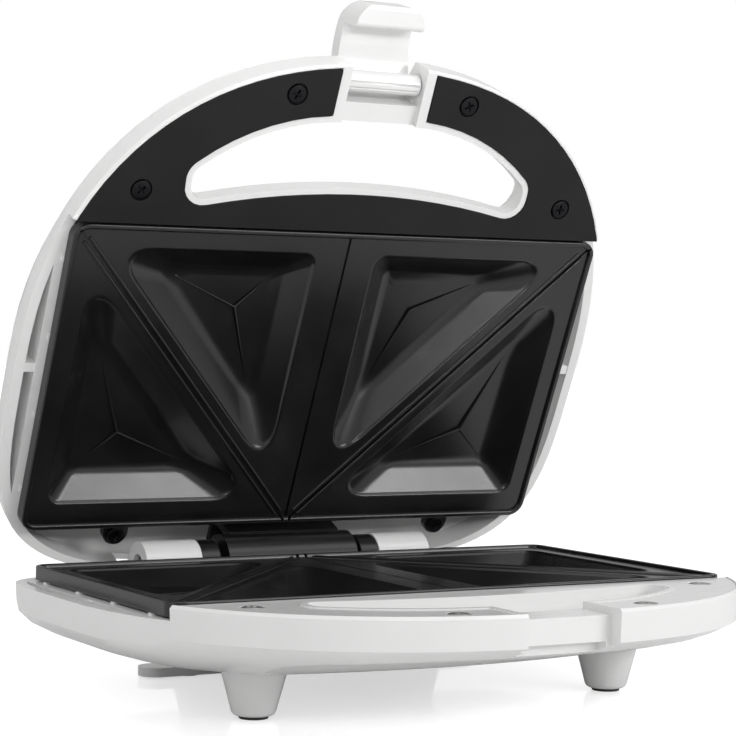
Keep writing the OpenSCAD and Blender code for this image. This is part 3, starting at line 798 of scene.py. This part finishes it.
    @classmethod
    def round_corner(cls, face: bpy.types.Object, corner: Vector, reach: float,
                     steps: int = 8) -> None:
        """Rounds one corner of a flat face.

        Args:
            face: the face.
            corner: the corner's place in the plan.
            reach: how far the rounding goes along both sides.
            steps: its steps.
        """
        with cls.editing(face, "VERT"):
            for vert in bmesh.from_edit_mesh(face.data).verts:
                vert.select_set((vert.co.to_2d() - corner).length < 1e-4)
            bpy.ops.mesh.bevel(
                offset=reach, offset_type="OFFSET", segments=steps, affect="VERTICES"
            )

    @classmethod
    def ease(cls, piece: bpy.types.Object, width: float, segments: int, **settings: Any) -> None:
        """Rounds every edge of a piece that is sharper than 35 degrees.

        Args:
            piece: the piece.
            width: width of the rounding.
            segments: its steps.
            **settings: more settings of the rounding.
        """
        cls.modify(piece, "BEVEL", width=width, segments=segments, limit_method="ANGLE",
                   angle_limit=math.radians(35), harden_normals=False, **settings)

    @classmethod
    def even_shading(cls, piece: bpy.types.Object) -> None:
        """Lets the large faces of a refined solid decide how its edges shade."""
        cls.modify(piece, "WEIGHTED_NORMAL", keep_sharp=True, weight=80)

    @classmethod
    def refined(cls, node: str, name: str, edge: float = 0.0, segments: int = 2,
                sharp: float = 40.0) -> bpy.types.Object:
        """A merged copy of a solid, with its sharp edges rounded, that stands for the solid.

        Args:
            node: the solid.
            name: the new piece's name.
            edge: width of the rounding in metres, 0 for none.
            segments: steps of a rounding.
            sharp: edges sharper than this stay sharp in the shading, in degrees.

        Returns:
            The new piece.
        """
        piece = bpy.data.objects.new(name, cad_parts[node].data.copy())
        bpy.context.scene.collection.objects.link(piece)
        piece.data.materials.clear()
        cls.take(piece)
        bpy.ops.mesh.customdata_custom_splitnormals_clear()
        with cls.editing(piece, "VERT"):
            bpy.ops.mesh.select_all(action="SELECT")
            bpy.ops.mesh.remove_doubles(threshold=WELD)
            bpy.ops.mesh.dissolve_limited(angle_limit=math.radians(0.2))
        if edge:
            cls.ease(piece, edge, segments, use_clamp_overlap=True, miter_outer="MITER_ARC")
        cls.smooth(piece, sharp)
        cls.even_shading(piece)
        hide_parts(node)
        return piece


def dress(piece: bpy.types.Object, finish: Finish, body: str) -> None:
    """Gives a finished piece its material and its body, and reports it.

    Args:
        piece: the piece.
        finish: its finish.
        body: the body it rides on.
    """
    piece.data.materials.clear()
    piece.data.materials.append(finish.material())
    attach(piece, body)
    LOG.info("%s rides on %s, %d faces", piece.name, body, len(piece.data.polygons))


# ---------------------------------------------------------------- housings


@dataclass
class Housings:
    """The two white housings, the lower handle's cover and the upper handle's inlay."""

    rounding: float = 0.35 * MM
    gap_half: float = 19.6
    corner_r: float = 1.3
    corner_short: float = 0.8
    corner_off: float = 0.05
    upright_off: float = 0.02
    corner_turn: float = math.radians(45)

    def _at_gap(self, edge: bmesh.types.BMEdge) -> bool:
        """Tells the upright corners of a cover at the latch's gap from its other edges.

        Args:
            edge: an edge of a cover in a half's millimetres.

        Returns:
            Whether it is one of those corners.
        """
        first, last = (vert.co for vert in edge.verts)
        beside = all(abs(abs(at.x) - self.gap_half) < self.corner_off for at in (first, last))
        upright = (first - last).to_2d().length < self.upright_off
        return (beside and upright and edge.calc_length() > self.corner_short
                and edge.calc_face_angle(0.0) > self.corner_turn)

    def _cover(self, node: str, name: str, place: Matrix) -> bpy.types.Object:
        """A handle cover with its corners at the latch's gap rounded.

        Args:
            node: the solid it stands for.
            name: the piece's name.
            place: from a half's millimetres to the cover's place.

        Returns:
            The piece.
        """
        piece = Bench.refined(node, name)
        Bench.carry(piece, place.inverted())
        with Bench.editing(piece, "EDGE"):
            Bench.pick_edges(piece, self._at_gap)
            bpy.ops.mesh.bevel(offset=self.corner_r, segments=4)
        Bench.carry(piece, place)
        Bench.ease(piece, self.rounding, 2)
        Bench.smooth(piece, 40)
        Bench.even_shading(piece)
        return piece

    def build(self) -> None:
        """Makes the pieces of both housings."""
        for node, body in (("base_shell", "base"), ("lid_shell", "lid")):
            skin = Bench.refined(node, node + "_skin", sharp=28)
            dress(skin, Finish.HOUSING, body)
        cover = self._cover("base_handle_cover", "base_cover_panel", FRAME.base())
        dress(cover, Finish.COVER, "base")
        inlay = self._cover("lid_handle_inlay", "lid_inlay_panel", FRAME.lid())
        dress(inlay, Finish.INLAY, "lid")


@dataclass(frozen=True)
class Pocket:
    """Triangular hollow of a cooking plate, in a half's millimetres."""

    corners: tuple[Vector, ...]
    square_r: float = 5.5
    acute_r: float = 8.0
    corner_steps: int = 7

    def _spans(self) -> list[float]:
        """Length of the side opposite each corner."""
        a, b, c = self.corners
        return [(b - c).length, (c - a).length, (a - b).length]

    def heart(self) -> Vector:
        """Middle of the circle that touches all three sides.

        Returns:
            The point of the plan.
        """
        spans = self._spans()
        total = Vector((0, 0))
        for corner, span in zip(self.corners, spans):
            total += corner * span
        return total / sum(spans)

    def reach(self) -> float:
        """Radius of the circle that touches all three sides."""
        a, b, c = self.corners
        return abs((b - a).cross(c - a)) / sum(self._spans())

    def face(self, height: float) -> bpy.types.Object:
        """The outline with its corners rounded, as a flat face.

        Args:
            height: its height.

        Returns:
            The face.
        """
        made = Bench.polygon(self.corners, height)
        for index, corner in enumerate(self.corners):
            sides = [self.corners[index - 1] - corner, self.corners[(index + 1) % 3] - corner]
            angle = sides[0].angle(sides[1])
            radius = self.square_r if angle > 1.5 else self.acute_r
            Bench.round_corner(made, corner, radius / math.tan(angle / 2), self.corner_steps)
        return made

    def cutter(self, wall: Sequence[tuple[float, float]], hip: float) -> bpy.types.Object:
        """The hollow as a solid, with a low three-sided hip in its floor.

        Args:
            wall: (distance inside the outline, height), from above the deck to the floor.
            hip: height of the hip.

        Returns:
            The solid.
        """
        made = self.face(wall[0][1])
        middle, reach = self.heart(), self.reach()
        with Bench.editing(made):
            bpy.ops.mesh.select_all(action="SELECT")
            shrink = (reach - wall[0][0]) / reach
            bpy.ops.transform.resize(value=(shrink, shrink, 1), center_override=(*middle, 0))
            for (inset, height), (next_inset, next_height) in zip(wall, wall[1:]):
                bpy.ops.mesh.extrude_region_move(
                    TRANSFORM_OT_translate={"value": (0, 0, next_height - height)}
                )
                shrink = (reach - next_inset) / (reach - inset)
                bpy.ops.transform.resize(value=(shrink, shrink, 1), center_override=(*middle, 0))
            bpy.ops.mesh.poke(offset=0)
            Bench.pick_verts(made, lambda at: (at.to_2d() - middle).length < 1e-3)
            bpy.ops.transform.translate(value=(0, 0, hip))
            bpy.ops.mesh.select_all(action="SELECT")
            bpy.ops.mesh.normals_make_consistent(inside=False)
        return made


@dataclass
class PlateCast:
    """A cast cooking plate with four pockets, in a half's millimetres; it is modelled once."""

    width: float = 220.0
    depth: float = 123.0
    corner_r: float = 6.0
    skirt: float = 5.0
    metal: float = 2.0
    rim: float = 1.9
    rim_rounding: float = 0.55
    deck: float = 1.2
    floor: float = 9.5
    hip: float = 0.9
    margin_side: float = 8.0
    margin_front: float = 8.0
    margin_rear: float = 9.5
    margin_middle: float = 11.5
    margin_diagonal: float = 4.5
    lip_r: float = 1.1
    lip_lean: float = 62.0
    wall_lean: float = 36.5
    foot_r: float = 9.0
    rib_r: float = 0.72
    rib_gap: float = 1.3
    rib_end: float = 5.5
    groove: float = 1.0
    groove_deep: float = 0.85
    ridge_r: float = 0.5
    ridge_tip: float = 0.1
    sunk: float = 0.05
    spare: float = 6.0
    deck_bevel: float = 0.3
    steep_r: float = 2.0
    lip_inset: float = 0.35
    above: float = 2.0
    ear_x: float = 70.5
    ear_y: float = 3.0
    ear_r: float = 5.0
    ear_t: float = 3.0
    ear_root: float = 1.5
    hole_y: float = 3.9
    hole_r: float = 1.7
    least_faces: int = 1500

    def _slope(self) -> float:
        """Rise over run of a diagonal in the plan."""
        return self.depth / (self.width / 2)

    def _pockets(self) -> list[Pocket]:
        """The pockets of the left square.

        Returns:
            The outer one and the inner one.
        """
        slope, half = self._slope(), self.width / 2
        shift = self.margin_diagonal * math.hypot(1, slope)
        side, rear, middle = -half + self.margin_side, -self.margin_rear, -self.margin_middle
        front = -self.depth + self.margin_front
        outer = (side, rear), (side, side * slope + shift), ((rear - shift) / slope, rear)
        inner = ((middle, middle * slope - shift), ((front + shift) / slope, front),
                 (middle, front))
        return [Pocket(tuple(Vector(corner) for corner in corners)) for corners in (outer, inner)]

    def _wall(self) -> list[tuple[float, float]]:
        """Wall of a pocket, as (distance inside its outline, height), from above the deck down.

        Returns:
            The points: a rounded lip, a steep start, a straight slope and a wide foot.
        """
        x, z = self.lip_inset, -self.deck
        points = [(x, self.above), (x, z)]

        def bend(radius: float, start: float, stop: float, steps: int) -> None:
            """Adds the points of an arc.

            Args:
                radius: its radius.
                start: lean of the wall where it starts, in degrees.
                stop: lean where it ends.
                steps: how many points it adds.
            """
            nonlocal x, z
            for step in range(steps):
                a = math.radians(start + (stop - start) * step / steps)
                b = math.radians(start + (stop - start) * (step + 1) / steps)
                x += radius * abs(math.sin(b) - math.sin(a))
                z -= radius * abs(math.cos(b) - math.cos(a))
                points.append((x, z))

        bend(self.lip_r, 0.0, self.lip_lean, 4)
        bend(self.steep_r, self.lip_lean, self.wall_lean, 2)
        lean = math.radians(self.wall_lean)
        fall = self.floor + z - self.foot_r * (1 - math.cos(lean))
        x, z = x + fall / math.tan(lean), z - fall
        points.append((x, z))
        bend(self.foot_r, self.wall_lean, 0.0, 5)
        return points

    def _slab(self) -> bpy.types.Object:
        """The plate's body with its raised rim and sunk deck.

        Returns:
            The body, still solid and deeper than the skirt.
        """
        half = self.width / 2
        slab = Bench.block((-half, -self.depth, -self.floor - self.spare), (half, 0, 0))
        with Bench.editing(slab, "EDGE"):
            Bench.pick_edges(slab, lambda e: abs(e.verts[0].co.z - e.verts[1].co.z) > 1)
            bpy.ops.mesh.bevel(offset=self.corner_r, segments=8, affect="EDGES")
        with Bench.editing(slab):
            Bench.pick(slab, lambda f: f.normal.z > FACING)
            bpy.ops.mesh.inset(thickness=self.rim)
            bpy.ops.mesh.inset(thickness=self.deck_bevel, depth=-self.deck)
        with Bench.editing(slab, "EDGE"):
            Bench.pick_edges(slab, lambda e: all(v.co.z > OVER_TOP for v in e.verts)
                             and sum(f.normal.z > FACING for f in e.link_faces) == 1)
            bpy.ops.mesh.bevel(offset=self.rim_rounding, segments=3, affect="EDGES")
        return slab

    def _sheet(self, slab: bpy.types.Object) -> None:
        """Turns the body into a cast sheet with a skirt, open below.

        Args:
            slab: the body with its pockets cut.
        """
        low = -self.floor - self.spare
        with Bench.editing(slab):
            Bench.pick(slab, lambda f: f.normal.z < -FACING
                       and f.calc_center_median().z < low + 0.1)
            bpy.ops.transform.translate(value=(0, 0, -self.skirt - low))
            bpy.ops.mesh.delete(type="FACE")
        with Bench.editing(slab, "VERT"):
            bpy.ops.mesh.select_all(action="SELECT")
            bpy.ops.mesh.remove_doubles(threshold=0.002)
        Bench.modify(slab, "SOLIDIFY", thickness=self.metal, offset=-1.0)

    def _ribs(self) -> list[bpy.types.Object]:
        """Twin ribs of both diagonals and the three ridges of every hip.

        Returns:
            The pieces, each sunk a little into the plate.
        """
        made = []
        slope = self._slope()
        ahead = Vector((-1, -slope)).normalized()
        aside = Vector((-ahead.y, ahead.x))
        far = Vector((-self.width / 2 + self.rib_end, (-self.width / 2 + self.rib_end) * slope))
        height = -self.deck - self.sunk
        top, foot = self.hip - self.floor - 0.12, -self.floor - 0.02
        for turn in (-1, 1):
            for side in (-1, 1):
                start, end = (p + aside * side * self.rib_gap for p in (ahead * 6, far))
                made.append(Bench.rod((start.x * turn, start.y, height),
                                      (end.x * turn, end.y, height), self.rib_r, self.rib_r, 12))
            for pocket in self._pockets():
                heart = pocket.heart()
                for corner in pocket.corners:
                    end = heart.lerp(corner, MIDDLE)
                    made.append(Bench.rod((heart.x * turn, heart.y, top),
                                          (end.x * turn, end.y, foot),
                                          self.ridge_r, self.ridge_tip, 8))
        return made

    def _grooves(self) -> list[bpy.types.Object]:
        """Cutters of the groove between the squares and of the grooves along the diagonals.

        Returns:
            The three cutters.
        """
        edge = self.rim + self.deck_bevel
        low = -self.deck - self.groove_deep
        corner = Vector((-self.width / 2 + edge, (-self.width / 2 + edge) * self._slope()))
        ends = [((0, -self.depth + edge), (0, -edge))]
        for turn in (-1, 1):
            ends.append(((corner.x * turn, corner.y), (-turn, -self._slope())))
        return [Bench.bar(start, end, self.groove, low, 1) for start, end in ends]

    def _ear(self, side: int) -> bpy.types.Object:
        """A screw ear of the plate's hinge side, bored, with its root inside the skirt.

        Args:
            side: -1 for the left one, 1 for the right one.

        Returns:
            The ear.
        """
        x = side * self.ear_x
        ear = Bench.tube(self.ear_r, self.ear_t, (x, self.ear_y, -self.skirt))
        with Bench.editing(ear, "VERT"):
            Bench.pick_verts(ear, lambda at: at.y < OVER_TOP)
            bpy.ops.transform.resize(value=(1, 0, 1), center_override=(x, -self.ear_root, 0))
        drill = Bench.tube(self.hole_r, self.ear_t + 4, (x, self.hole_y, -self.skirt - 2), 32)
        Bench.bore(ear, drill)
        return ear

    def build(self) -> bpy.types.Object:
        """Models the plate and makes sure that no cut or joint has emptied it.

        Returns:
            The plate in a half's millimetres.

        Raises:
            RuntimeError: if too few faces or too little of its width are left.
        """
        cast = self._slab()
        wall = self._wall()
        for pocket in self._pockets():
            for turn in (1, -1):
                cutter = pocket.cutter(wall, self.hip)
                Bench.carry(cutter, Matrix.Diagonal((turn, 1, 1, 1)))
                Bench.bore(cast, cutter)
        self._sheet(cast)
        for groove in self._grooves():
            Bench.bore(cast, groove)
        for rib in self._ribs():
            Bench.bore(cast, rib, "UNION")
        cast = Bench.join([cast, self._ear(-1), self._ear(1)], "plate_master")
        Bench.modify(cast, "TRIANGULATE", min_vertices=5)
        Bench.smooth(cast, 38)
        Bench.modify(cast, "WEIGHTED_NORMAL", keep_sharp=True)
        faces = len(cast.data.polygons)
        if faces < self.least_faces or cast.dimensions.x < self.width - 1:
            wide = cast.dimensions.x
            raise RuntimeError(f"the plate is broken: {faces} faces, {wide:.1f} mm wide")
        return cast


@dataclass
class Plates:
    """The two coated cooking plates, twins of one cast."""

    cast: PlateCast = field(default_factory=PlateCast)

    def build(self) -> None:
        """Makes the cast, puts a twin in each half and drops the master."""
        master = self.cast.build()
        for node, body, place in (("base_plate", "base", FRAME.base()),
                                  ("lid_plate", "lid", FRAME.lid())):
            piece = Bench.twin(master, node + "_cast", place)
            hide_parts(node)
            dress(piece, Finish.COAT, body)
        bpy.data.objects.remove(master)


@dataclass
class CrossScrew:
    """Cross-head screw in millimetres, its head's top at zero; it is modelled once."""

    head_r: float = 3.5
    head_t: float = 0.9
    shank_r: float = 1.45
    length: float = 6.3
    cross: float = 4.3
    cross_w: float = 0.95
    cross_deep: float = 0.75
    cross_taper: float = 0.6
    head_rounding: float = 0.4
    dimple_r: float = 1.35
    dimple_tip: float = 0.3
    dimple_more: float = 0.15

    def build(self) -> bpy.types.Object:
        """Models the screw.

        Returns:
            The screw in millimetres.
        """
        screw = Bench.tube(self.head_r, self.head_t, (0, 0, -self.head_t), 40)
        with Bench.editing(screw):
            Bench.pick(screw, lambda f: f.normal.z < -FACING)
            bpy.ops.mesh.inset(thickness=self.head_r - self.shank_r)
            bpy.ops.mesh.extrude_region_move(
                TRANSFORM_OT_translate={"value": (0, 0, self.head_t - self.length)}
            )
        with Bench.editing(screw, "EDGE"):
            Bench.pick_edges(screw, lambda e: all(v.co.z > OVER_TOP for v in e.verts))
            bpy.ops.mesh.bevel(offset=self.head_rounding, segments=3, affect="EDGES")
        for turn in (0, 1):
            half, wide = self.cross / 2, self.cross_w / 2
            ends = (half, wide) if turn else (wide, half)
            slot = Bench.block((-ends[0], -ends[1], -self.cross_deep), (ends[0], ends[1], 0.3))
            with Bench.editing(slot):
                Bench.pick(slot, lambda f: f.normal.z < -FACING)
                bpy.ops.transform.resize(value=(self.cross_taper, self.cross_taper, 1),
                                         center_override=(0, 0, 0))
            Bench.bore(screw, slot)
        Bench.bore(screw, Bench.rod((0, 0, 0.4), (0, 0, -self.cross_deep - self.dimple_more),
                                    self.dimple_r, self.dimple_tip, 16))
        Bench.smooth(screw, 32)
        return screw


@dataclass
class Fasteners:
    """Every screw of the toaster: twins of one screw, each turned its own way."""

    screw: CrossScrew = field(default_factory=CrossScrew)
    inner_x: float = 35.8
    inner_y: float = -175.6
    outer_x: float = 88.2
    outer_y: float = -136.6
    base_cover_top: float = -1.2
    lid_cover_top: float = -0.4
    ear_x: float = 70.5
    ear_y: float = 3.9
    ear_top: float = -1.1
    bracket_x: float = 17.0
    bracket_y: float = 11.5
    bracket_top: float = 13.9
    first_turn: float = 25.0
    next_turn: float = 67.0

    def _covers(self, top: float) -> list[Vector]:
        """Places of a handle cover's four screws.

        Args:
            top: height of their heads.

        Returns:
            The places in a half's millimetres.
        """
        return [Vector((x * s, y, top)) for s in (-1, 1)
                for x, y in ((self.inner_x, self.inner_y), (self.outer_x, self.outer_y))]

    def _ears(self) -> list[Vector]:
        """Places of a plate's two screws in a half's millimetres."""
        return [Vector((s * self.ear_x, self.ear_y, self.ear_top)) for s in (-1, 1)]

    def build(self) -> None:
        """Puts a twin of the screw in every hole."""
        master = self.screw.build()
        under = FRAME.lid_turned() @ Matrix.Rotation(math.pi, 4, "X")
        brackets = [Vector((s * self.bracket_x, -self.bracket_y, -self.bracket_top))
                    for s in (-1, 1)]
        lower, upper = FRAME.base(), FRAME.lid()
        sets = (
            ("base_cover_screws", "base", lower, self._covers(self.base_cover_top), Finish.ZINC),
            ("lid_inlay_screws", "lid", upper, self._covers(self.lid_cover_top), Finish.SCREW),
            ("base_plate_screws", "base", lower, self._ears(), Finish.SCREW),
            ("lid_plate_screws", "lid", upper, self._ears(), Finish.SCREW),
            ("barrel_screws", "lid", under, brackets, Finish.SCREW),
        )
        for node, body, place, spots, finish in sets:
            for index, spot in enumerate(spots):
                turn = math.radians(self.first_turn + self.next_turn * index)
                stand = Matrix.Translation(spot) @ Matrix.Rotation(turn, 4, "Z")
                piece = Bench.twin(master, f"{node}_{index + 1}", place @ stand)
                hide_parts(node)
                dress(piece, finish, body)
        bpy.data.objects.remove(master)


@dataclass
class Latch:
    """The latch that hangs on the upper handle: a bowed arm, a hook and a ribbed barrel."""

    rounding: float = 1.1 * MM
    barrel_r: float = 3.9
    groove_r: float = 0.55
    groove_out: float = 0.25
    groove_end: float = 0.8
    grooves: tuple[float, ...] = (-168.0, 158.0)
    half: float = 15.0
    pivot: tuple[float, float] = (-180.2, 7.2)

    def _grooves(self) -> list[bpy.types.Object]:
        """Cutters of the two shallow grooves along the barrel.

        Returns:
            The cutters.
        """
        cutters = []
        away = self.barrel_r + self.groove_out
        low, length = self.groove_end - self.half, 2 * (self.half - self.groove_end)
        lying = Matrix.Rotation(math.pi / 2, 4, "Y")
        for turn in map(math.radians, self.grooves):
            y = self.pivot[0] + away * math.sin(turn)
            z = self.pivot[1] + away * math.cos(turn)
            cutter = Bench.tube(self.groove_r, length, (0, 0, low), 16)
            cutters.append(Bench.carry(cutter, Matrix.Translation((0, y, z)) @ lying))
        return cutters

    def build(self) -> None:
        """Makes the latch."""
        latch = Bench.refined("latch", "latch_hook", self.rounding, segments=3, sharp=50.0)
        Bench.carry(latch, FRAME.lid_turned().inverted())
        for cutter in self._grooves():
            Bench.bore(latch, cutter)
        Bench.carry(latch, FRAME.lid_turned())
        Bench.smooth(latch, 50)
        dress(latch, Finish.HOUSING, "latch_body")


@dataclass(frozen=True)
class Fitting:
    """A small fitting that stands for a solid, with its edges rounded."""

    node: str
    name: str
    finish: Finish
    body: str
    slot: str
    rounding: float

    def build(self) -> None:
        """Makes the fitting."""
        piece = Bench.refined(self.node, self.name, self.rounding * MM, segments=4)
        dress(piece, self.finish, self.body)


FITTINGS = (
    Fitting("cord_inlet", "cord_grommet", Finish.BLACK, "base", "black_plastic", 0.8),
    Fitting("foot_pads", "rubber_pads", Finish.RUBBER, "base", "dark_rubber", 0.35),
    Fitting("hinge_collars", "hinge_rings", Finish.BLACK, "base", "black_plastic", 0.5),
    Fitting("power_lens", "power_lamp", Finish.RED, "lid", "red_lens", 0.9),
    Fitting("ready_lens", "ready_lamp", Finish.GREEN, "lid", "green_lens", 0.9),
    Fitting("hinge_barrel", "middle_barrel", Finish.BLACK, "lid", "black_plastic", 0.6),
)


@dataclass(frozen=True)
class Solid:
    """A solid whose shape is right as it is and which only gets its finish."""

    node: str
    finish: Finish

    def dress(self) -> None:
        """Gives the solid its material."""
        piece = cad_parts[self.node]
        if not piece.data.materials:
            piece.data.materials.append(self.finish.material())
        for place in range(len(piece.material_slots)):
            piece.material_slots[place].material = self.finish.material()
        LOG.info("%s is dressed as %s", self.node, self.finish.name.lower())


SOLIDS = (
    Solid("base_heater", Finish.ROD),
    Solid("base_heater_clamps", Finish.SHEET),
    Solid("base_heat_shield", Finish.SHEET),
    Solid("thermostat", Finish.CERAMIC),
    Solid("thermal_fuse", Finish.ROD),
    Solid("terminal_block", Finish.TERMINAL),
    Solid("lid_heater", Finish.ROD),
    Solid("lid_heater_clamps", Finish.SHEET),
    Solid("lid_heat_shield", Finish.SHEET),
    Solid("lamp_board", Finish.BOARD),
    Solid("hinge_pins", Finish.ROD),
    Solid("latch_pin", Finish.ROD),
)


# ---------------------------------------------------------------- studio


@dataclass(frozen=True)
class SoftBox:
    """An area lamp; it faces the middle of the toaster unless it has a point of its own."""

    name: str
    at: tuple[float, float, float]
    width: float
    height: float
    watts: float
    aim: tuple[float, float, float] = (0.0, 0.02, 0.12)
    spread: float = 180.0

    def build(self) -> None:
        """Adds the lamp."""
        data = bpy.data.lights.new(self.name, "AREA")
        data.shape, data.energy = "RECTANGLE", self.watts
        data.size, data.size_y = self.width, self.height
        data.spread = math.radians(self.spread)
        lamp = bpy.data.objects.new(self.name, data)
        lamp.location = self.at
        towards = Vector(self.aim) - Vector(self.at)
        lamp.rotation_euler = towards.to_track_quat("-Z", "Y").to_euler()
        bpy.context.scene.collection.objects.link(lamp)


LAMPS = (
    SoftBox("key", (0.80, -1.34, 0.51), 0.82, 0.34, 8.2),
    SoftBox("window", (0.85, -1.00, 1.45), 1.1, 0.50, 3.5),
    SoftBox("top", (0.1, -0.1, 1.5), 1.3, 1.3, 5.5),
    SoftBox("left", (-1.5, -0.3, 0.6), 0.7, 0.9, 2.5),
    SoftBox("lid", (-0.60, -1.20, 0.40), 0.45, 0.10, 0.085, (-0.14, 0.02, 0.23), 20.0),
)


@dataclass
class Studio:
    """Camera, lamps, backdrop light and floor."""

    focal: float = 109.907
    azimuth: float = -0.513251
    pitch: float = -0.0175375
    roll: float = 0.0151146
    eye: tuple[float, float, float] = (-0.404355, -0.6983079, 0.129625)
    room_light: float = 0.58
    floor_size: float = 12.0
    floor_grey: float = 0.90
    floor_roughness: float = 0.05
    floor_glow: float = 0.57

    def build(self) -> None:
        """Sets up the whole studio."""
        scene = bpy.context.scene
        scene.view_settings.view_transform = "Standard"
        self._camera()
        self._world()
        self._floor()
        for lamp in LAMPS:
            lamp.build()

    def _camera(self) -> None:
        """Adds the camera, turned by its azimuth, pitch and roll."""
        sa, ca = math.sin(self.azimuth), math.cos(self.azimuth)
        sp, cp = math.sin(self.pitch), math.cos(self.pitch)
        ahead = Vector((-sa * cp, ca * cp, sp))
        right = Vector((ca, sa, 0.0))
        up = right.cross(ahead)
        c, s = math.cos(self.roll), math.sin(self.roll)
        x_axis, y_axis = right * c + up * s, up * c - right * s
        data = bpy.data.cameras.new("camera")
        data.lens, data.sensor_width = self.focal, 36.0
        data.clip_start, data.clip_end = 0.05, 20.0
        camera = bpy.data.objects.new("camera", data)
        turn = Matrix((x_axis, y_axis, -ahead)).transposed().to_4x4()
        camera.matrix_world = Matrix.Translation(self.eye) @ turn
        bpy.context.scene.collection.objects.link(camera)
        bpy.context.scene.camera = camera

    def _world(self) -> None:
        """White behind everything, and a soft grey as light."""
        world = bpy.context.scene.world or bpy.data.worlds.new("world")
        bpy.context.scene.world = world
        world.use_nodes = True
        tree = world.node_tree
        tree.nodes.clear()
        path = tree.nodes.new("ShaderNodeLightPath")
        seen = tree.nodes.new("ShaderNodeMath")
        seen.operation = "MAXIMUM"
        tree.links.new(path.outputs["Is Camera Ray"], seen.inputs[0])
        tree.links.new(path.outputs["Is Transmission Ray"], seen.inputs[1])
        strength = tree.nodes.new("ShaderNodeMapRange")
        strength.inputs["To Min"].default_value = self.room_light
        strength.inputs["To Max"].default_value = 1.0
        tree.links.new(seen.outputs[0], strength.inputs["Value"])
        light = tree.nodes.new("ShaderNodeBackground")
        light.inputs["Color"].default_value = (1, 1, 1, 1)
        tree.links.new(strength.outputs[0], light.inputs["Strength"])
        out = tree.nodes.new("ShaderNodeOutputWorld")
        tree.links.new(light.outputs[0], out.inputs["Surface"])

    def _floor(self) -> None:
        """A pale glossy floor that keeps the shadow."""
        Bench.clear()
        bpy.ops.mesh.primitive_plane_add(size=self.floor_size, location=(0, 0, 0))
        floor = bpy.context.object
        floor.name = "floor"
        sheet = Sheet("floor_white")
        board = sheet.node("ShaderNodeBsdfPrincipled", None, {
            "Base Color": grey(self.floor_grey), "Roughness": self.floor_roughness, "IOR": 1.45})
        path = sheet.node("ShaderNodeLightPath", output="Is Camera Ray")
        glow = sheet.node("ShaderNodeEmission", None, {
            "Color": grey(1.0), "Strength": path * self.floor_glow})
        both = sheet.node("ShaderNodeAddShader", None, {0: board, 1: glow})
        sheet.node("ShaderNodeOutputMaterial", None, {"Surface": both})
        floor.data.materials.append(sheet.material)


def main() -> None:
    """Builds the dressed toaster and its studio."""
    logging.basicConfig(level=logging.INFO, format="%(name)s: %(message)s")
    Studio().build()
    Housings().build()
    Plates().build()
    Fasteners().build()
    Latch().build()
    for fitting in FITTINGS:
        fitting.build()
    for solid in SOLIDS:
        solid.dress()
    Bench.clear()


if __name__ == "__main__":
    main()
